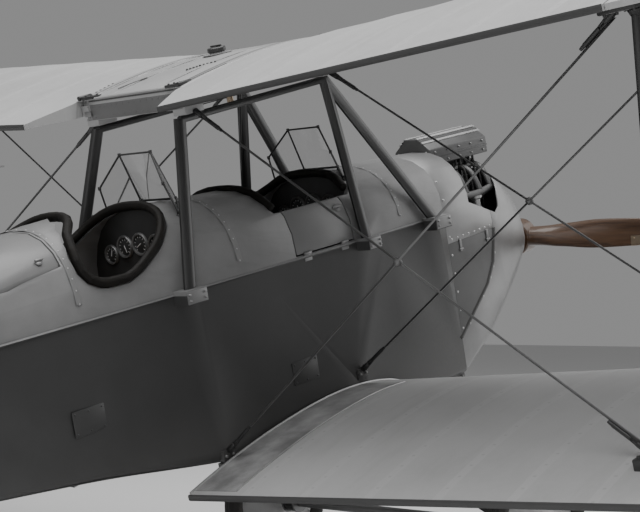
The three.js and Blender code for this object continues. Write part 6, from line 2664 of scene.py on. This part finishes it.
@dataclass
class Tail(Assembly):
    """Tailplane, elevators, fin and rudder with their ribs, hinges and horns, the stays and the skid."""

    sag: float = 0.0022
    parts_along: int = 14
    flap_edge: float = 0.013
    least_half: float = 0.0006
    near_ends: tuple[float, ...] = (0.0015, 0.004, 0.008, 0.014, 0.022, 0.033, 0.047)

    def edges(self, outline: Sequence[tuple[float, ...]], at: float) -> tuple[float, float]:
        """Least and greatest chordwise place of a closed outline at a place along the span.

        Args:
            outline: The outline.
            at: The place along the span.

        Returns:
            The two places.
        """
        found = []
        for (s0, c0), (s1, c1) in zip(outline, (*outline[1:], outline[0])):
            if min(s0, s1) <= at <= max(s0, s1) and s0 != s1:
                found.append(c0 + (c1 - c0) * (at - s0) / (s1 - s0))
        return min(found), max(found)

    def surface(self, name: str, outline: Sequence[tuple[float, ...]], places: Sequence[float],
            thick: float, rear: float, pitch: float, upright: bool) -> Piece:
        """A flat tail surface: rounded ahead, tapering aft, and pulled in between its ribs.

        Args:
            name: Name of the piece.
            outline: Closed outline as pairs of spanwise and chordwise place.
            places: Spanwise places of its rings.
            thick: Thickness at its thickest.
            rear: Thickness at its rear edge.
            pitch: Distance between its ribs.
            upright: Whether its span is along Z, as the fin's, or along X.

        Returns:
            The closed piece.
        """
        chord_parts = [0.5 * (1 - math.cos(math.pi * i / self.parts_along))
            for i in range(self.parts_along + 1)]
        rings = []
        for at in places:
            front, back = self.edges(outline, at)
            chord = max(0.004, back - front)
            bay = self.sag * abs(math.sin(math.pi * at / pitch))
            rows = []
            for part in chord_parts:
                y = part * chord
                nose = math.sqrt(max(0.0, 1 - max(0.0, 1 - y / (thick * 0.9)) ** 2))
                tail = 1 + (rear / thick - 1) * part
                swell = min(1.0, chord / (thick * 3)) * nose * tail
                half = (thick / 2 - bay * math.sin(math.pi * part)) * swell
                rows.append((front + y, max(self.least_half, half)))
            over = rows + [(y, -h) for y, h in reversed(rows[1:])]
            if upright:
                rings.append([(h, y, at) for y, h in over])
            else:
                rings.append([(at, y, TAIL_Z + h) for y, h in over])
        return lofted(name, rings, 45)

    def build(self) -> None:
        """Makes the whole tail."""
        self.tailplane()
        for side in Side:
            self.elevator(side)
            self.refined(f"tail_stay_{side.word}", "strut_paint", bevel=0.0, angle=50)
        self.fin()
        self.rudder()
        self.hinges()
        self.skid()

    def spread(self, low: float, high: float, step: float) -> list[float]:
        """Even places with closer ones at both rounded ends."""
        inner = [at for at in stations(low, high, step) if low + 0.06 < at < high - 0.06]
        return [low + d for d in self.near_ends] + inner + [high - d for d in reversed(self.near_ends)]

    def tailplane(self) -> None:
        """The fixed tailplane in one piece across the body."""
        tip, rear = HALF_TAIL, ELEVATOR_HINGE - 0.034
        curve = [(-tip, rear), *bezier((-tip, rear), (-tip + 0.02, 4.76), (-tip + 0.26, 4.64),
            (-tip + 0.52, 4.59))]
        outline = [*curve, (-0.12, 4.5), (0.12, 4.5), *[(-x, y) for x, y in reversed(curve)]]
        piece = self.surface("tailplane_fabric", outline, self.spread(-tip, tip, 0.04), TAIL_THICK, 0.04,
            0.24, False)
        self.dress(piece, "tail_fabric", replaces=["tailplane"])

    def elevator(self, side: Side) -> None:
        """One elevator, with its tube nose, cut away for the rudder.

        Args:
            side: Its side.
        """
        tip, hinge = HALF_TAIL, ELEVATOR_HINGE
        curve = bezier((tip - 0.004, hinge), (tip - 0.01, 5.32), (tip - 0.33, 5.48), (tip - 0.62, 5.49))
        outline = [(0.06, hinge - 0.017), (tip - 0.004, hinge - 0.017), *curve, (0.33, 5.49), (0.078, 5.11),
            (0.06, 5.11)]
        places = self.spread(0.06, tip - 0.004, 0.04)
        piece = self.surface(f"elevator_{side.word}_fabric", outline, places, 0.038, self.flap_edge, 0.24,
            False)
        horn = box(f"elevator_horn_{side.word}", (0.095, hinge - 0.008, TAIL_Z - 0.085),
            (0.101, hinge + 0.02, TAIL_Z + 0.085), 0.002)
        if side is Side.RIGHT:
            mirrored(piece)
            mirrored(horn)
        self.dress(piece, "tail_fabric", "elevator", [f"elevator_{side.word}"])
        self.dress(horn, "strut_paint", "elevator")

    def fin(self) -> None:
        """The fixed fin with its curved leading edge."""
        base, top, front, post = FIN_BASE, FIN_TOP, 4.44, STERNPOST
        lower = bezier((base, front), (base + 0.15, front + 0.19), (top - 0.04, front + 0.33),
            (top, front + 0.54))
        upper = bezier((top, front + 0.54), (top + 0.01, front + 0.6), (top + 0.008, post - 0.02),
            (top, post))
        outline = [(base, front), *lower, *upper, (base + 0.018, post), (base + 0.018, 5.01), (base, 5.01)]
        places = [base + 0.0005, base + 0.0175, base + 0.0185, *stations(base + 0.05, top - 0.03, 0.03),
            top - 0.016, top - 0.008, top - 0.002, top + 0.003]
        piece = self.surface("fin_fabric", outline, places, 0.036, 0.034, 0.17, True)
        self.dress(piece, "fin_fabric", replaces=["fin"])

    def rudder(self) -> None:
        """The round rudder behind its post, with its lever."""
        base, top, low, post = FIN_BASE, FIN_TOP, RUDDER_LOW, RUDDER_POST
        first = bezier((top - 0.008, post), (top + 0.1, post + 0.04), (top + 0.1, post + 0.31),
            (top - 0.15, post + 0.395))
        second = bezier((top - 0.15, post + 0.395), (base + 0.06, post + 0.47), (low + 0.02, post + 0.43),
            (low, post + 0.2))
        outline = [(low, post - 0.016), (top - 0.008, post - 0.016), (top - 0.008, post), *first, *second]
        peak = max(z for z, _ in first)
        piece = self.surface("rudder_fabric", outline, self.spread(low, peak, 0.03), 0.038, self.flap_edge,
            0.17, True)
        self.dress(piece, "fin_fabric", "rudder", ["rudder"])
        lever = box("rudder_lever", (-0.105, post - 0.01, 0.446), (0.105, post + 0.018, 0.454), 0.003)
        with editing_faces(lever, lambda _, normal: abs(normal.x) > 0.9):
            bpy.ops.transform.resize(value=(1.0, 0.5, 1.0))
        eyes = [rod("eye", (x, post, 0.44), (x, post, 0.462), 0.008, 10) for x in (-0.096, 0.096)]
        self.dress(join([lever, *eyes], "rudder_lever"), "strut_paint", "rudder")

    def hinges(self) -> None:
        """Hinge clips of the elevators and the rudder, stay sockets and the wires that stay the fin."""
        parts = []
        for x in (0.26, 0.72, 1.18):
            for side in (-1, 1):
                for way in (-1, 1):
                    low, high = sorted((TAIL_Z + way * 0.0205, TAIL_Z + way * 0.0245))
                    parts.append(box("strap", (side * x - 0.012, ELEVATOR_HINGE - 0.115, low),
                        (side * x + 0.012, ELEVATOR_HINGE - 0.032, high), 0.0015))
                parts.append(rod("knuckle", (side * x - 0.014, ELEVATOR_HINGE - 0.03, TAIL_Z),
                    (side * x + 0.014, ELEVATOR_HINGE - 0.03, TAIL_Z), 0.009))
        for z in (0.52, 0.8, 1.08):
            for way in (-1, 1):
                reach = 0.0192 if z > 0.7 else 0.036
                low, high = sorted((way * reach, way * (reach + 0.003)))
                parts.append(box("strap", (low, STERNPOST - 0.07, z - 0.011),
                    (high, STERNPOST - 0.002, z + 0.011), 0.0012))
            parts.append(rod("knuckle", (0, STERNPOST + 0.006, z - 0.013),
                (0, STERNPOST + 0.006, z + 0.013), 0.0085))
        for side in (-1, 1):
            parts.append(studs("socket", [((side * 0.64, 4.83, TAIL_Z - 0.024), (0, 0, -1))], 0.024, 0.01,
                16))
        self.dress(join(parts, "tail_hinges"), "strut_paint")
        wires = []
        for side in (-1, 1):
            a = vec(side * 0.012, 4.93, 1.16)
            b = vec(side * 0.8, 4.93, TAIL_Z + 0.022)
            wires += stay(a, b, 0.0025, (0.0, 0.07, 0.006, 0.0035), 8)
        self.dress(join(wires, "fin_stay_wires"), "wire_steel")

    def skid(self) -> None:
        """The steered skid with its clips and pivot collar."""
        self.refined("tailskid", "skid_steel", "tailskid", 0.003, 40)
        parts = []
        for t in (0.28, 0.62):
            y, z = 4.93 + (5.19 - 4.93) * t, 0.386 + (0.262 - 0.386) * t
            parts.append(box("clip", (-0.022, y - 0.012, z - 0.028), (0.022, y + 0.012, z + 0.028), 0.003))
        collar = [(0.018, 0.0), (0.026, 0.0), (0.028, 0.006), (0.026, 0.016), (0.018, 0.016), (0.018, 0.0)]
        parts.append(turned("collar", collar, (0, 4.995, 0.418), (0, 4.995, 1.0), 20))
        self.dress(join(parts, "skid_clips"), "bare_steel", "tailskid")


@dataclass
class Studio:
    """Floor, lights and camera."""

    position: Place = (-4.9492, 3.3258, 1.2271)
    right: Place = (-0.72903, -0.68448, 0.00089)
    up: Place = (-0.0258, 0.02878, 0.99925)
    look: Place = (0.68399, -0.72846, 0.03864)
    lens: float = 91.7015
    surround: float = 0.33
    # columns: name, place, size, power
    lamps: tuple[tuple[str, Place, float, float], ...] = (
        ("overhead", (-1.5, 1.0, 12.5), 15.0, 2700.0),
        ("side", (-9.0, 7.0, 4.0), 8.0, 150.0),
        ("front", (-3.0, -10.0, 5.0), 8.0, 260.0),
    )

    def build(self) -> None:
        """Makes the stage."""
        self.floor()
        self.lights()
        self.camera()

    def floor(self) -> None:
        """A plain pale floor."""
        clear_selection()
        bpy.ops.mesh.primitive_plane_add(size=120.0, location=(0.0, 0.0, -0.0015))
        plane = bpy.context.object
        plane.name = "floor"
        plane.data.materials.append(Graph("pale_floor").finish(grey(0.62), 0.9))

    def lights(self) -> None:
        """A pale surround, one large soft lamp overhead and two weak ones from the sides."""
        world = bpy.data.worlds.new("surround")
        bpy.context.scene.world = world
        world.use_nodes = True
        background = world.node_tree.nodes["Background"]
        background.inputs[0].default_value = grey(0.8)
        background.inputs[1].default_value = self.surround
        for name, place, size, power in self.lamps:
            lamp = bpy.data.lights.new(name, "AREA")
            lamp.size = size
            lamp.energy = power
            holder = bpy.data.objects.new(name, lamp)
            holder.location = place
            holder.rotation_euler = (vec(0, 0, 1.2) - Vector(place)).to_track_quat("-Z", "Y").to_euler()
            bpy.context.scene.collection.objects.link(holder)

    def camera(self) -> None:
        """The photograph's camera, from the fit of wings, wires and nose."""
        lens = bpy.data.cameras.new("camera")
        lens.lens = self.lens
        lens.sensor_width = 36.0
        lens.clip_end = 200.0
        holder = bpy.data.objects.new("camera", lens)
        right, up, look = (Vector(v).normalized() for v in (self.right, self.up, self.look))
        turn = Matrix((right, up, -look)).transposed().to_4x4()
        holder.matrix_world = Matrix.Translation(self.position) @ turn
        bpy.context.scene.collection.objects.link(holder)
        bpy.context.scene.camera = holder


def main() -> None:
    """Loads the model, builds each sub-assembly in order and reports the pieces."""
    logging.basicConfig(level=logging.INFO, format="%(message)s")
    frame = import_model()
    Studio().build()
    palette = Palette()
    for kind in (Wing, CentreTank, Rigging, Cabane, Fuselage, Cockpits, Nose, Propeller, Undercarriage, Tail):
        assembly = kind(palette, frame["nodes"])
        assembly.build()
        assembly.report()


if __name__ == "__main__":
    main()
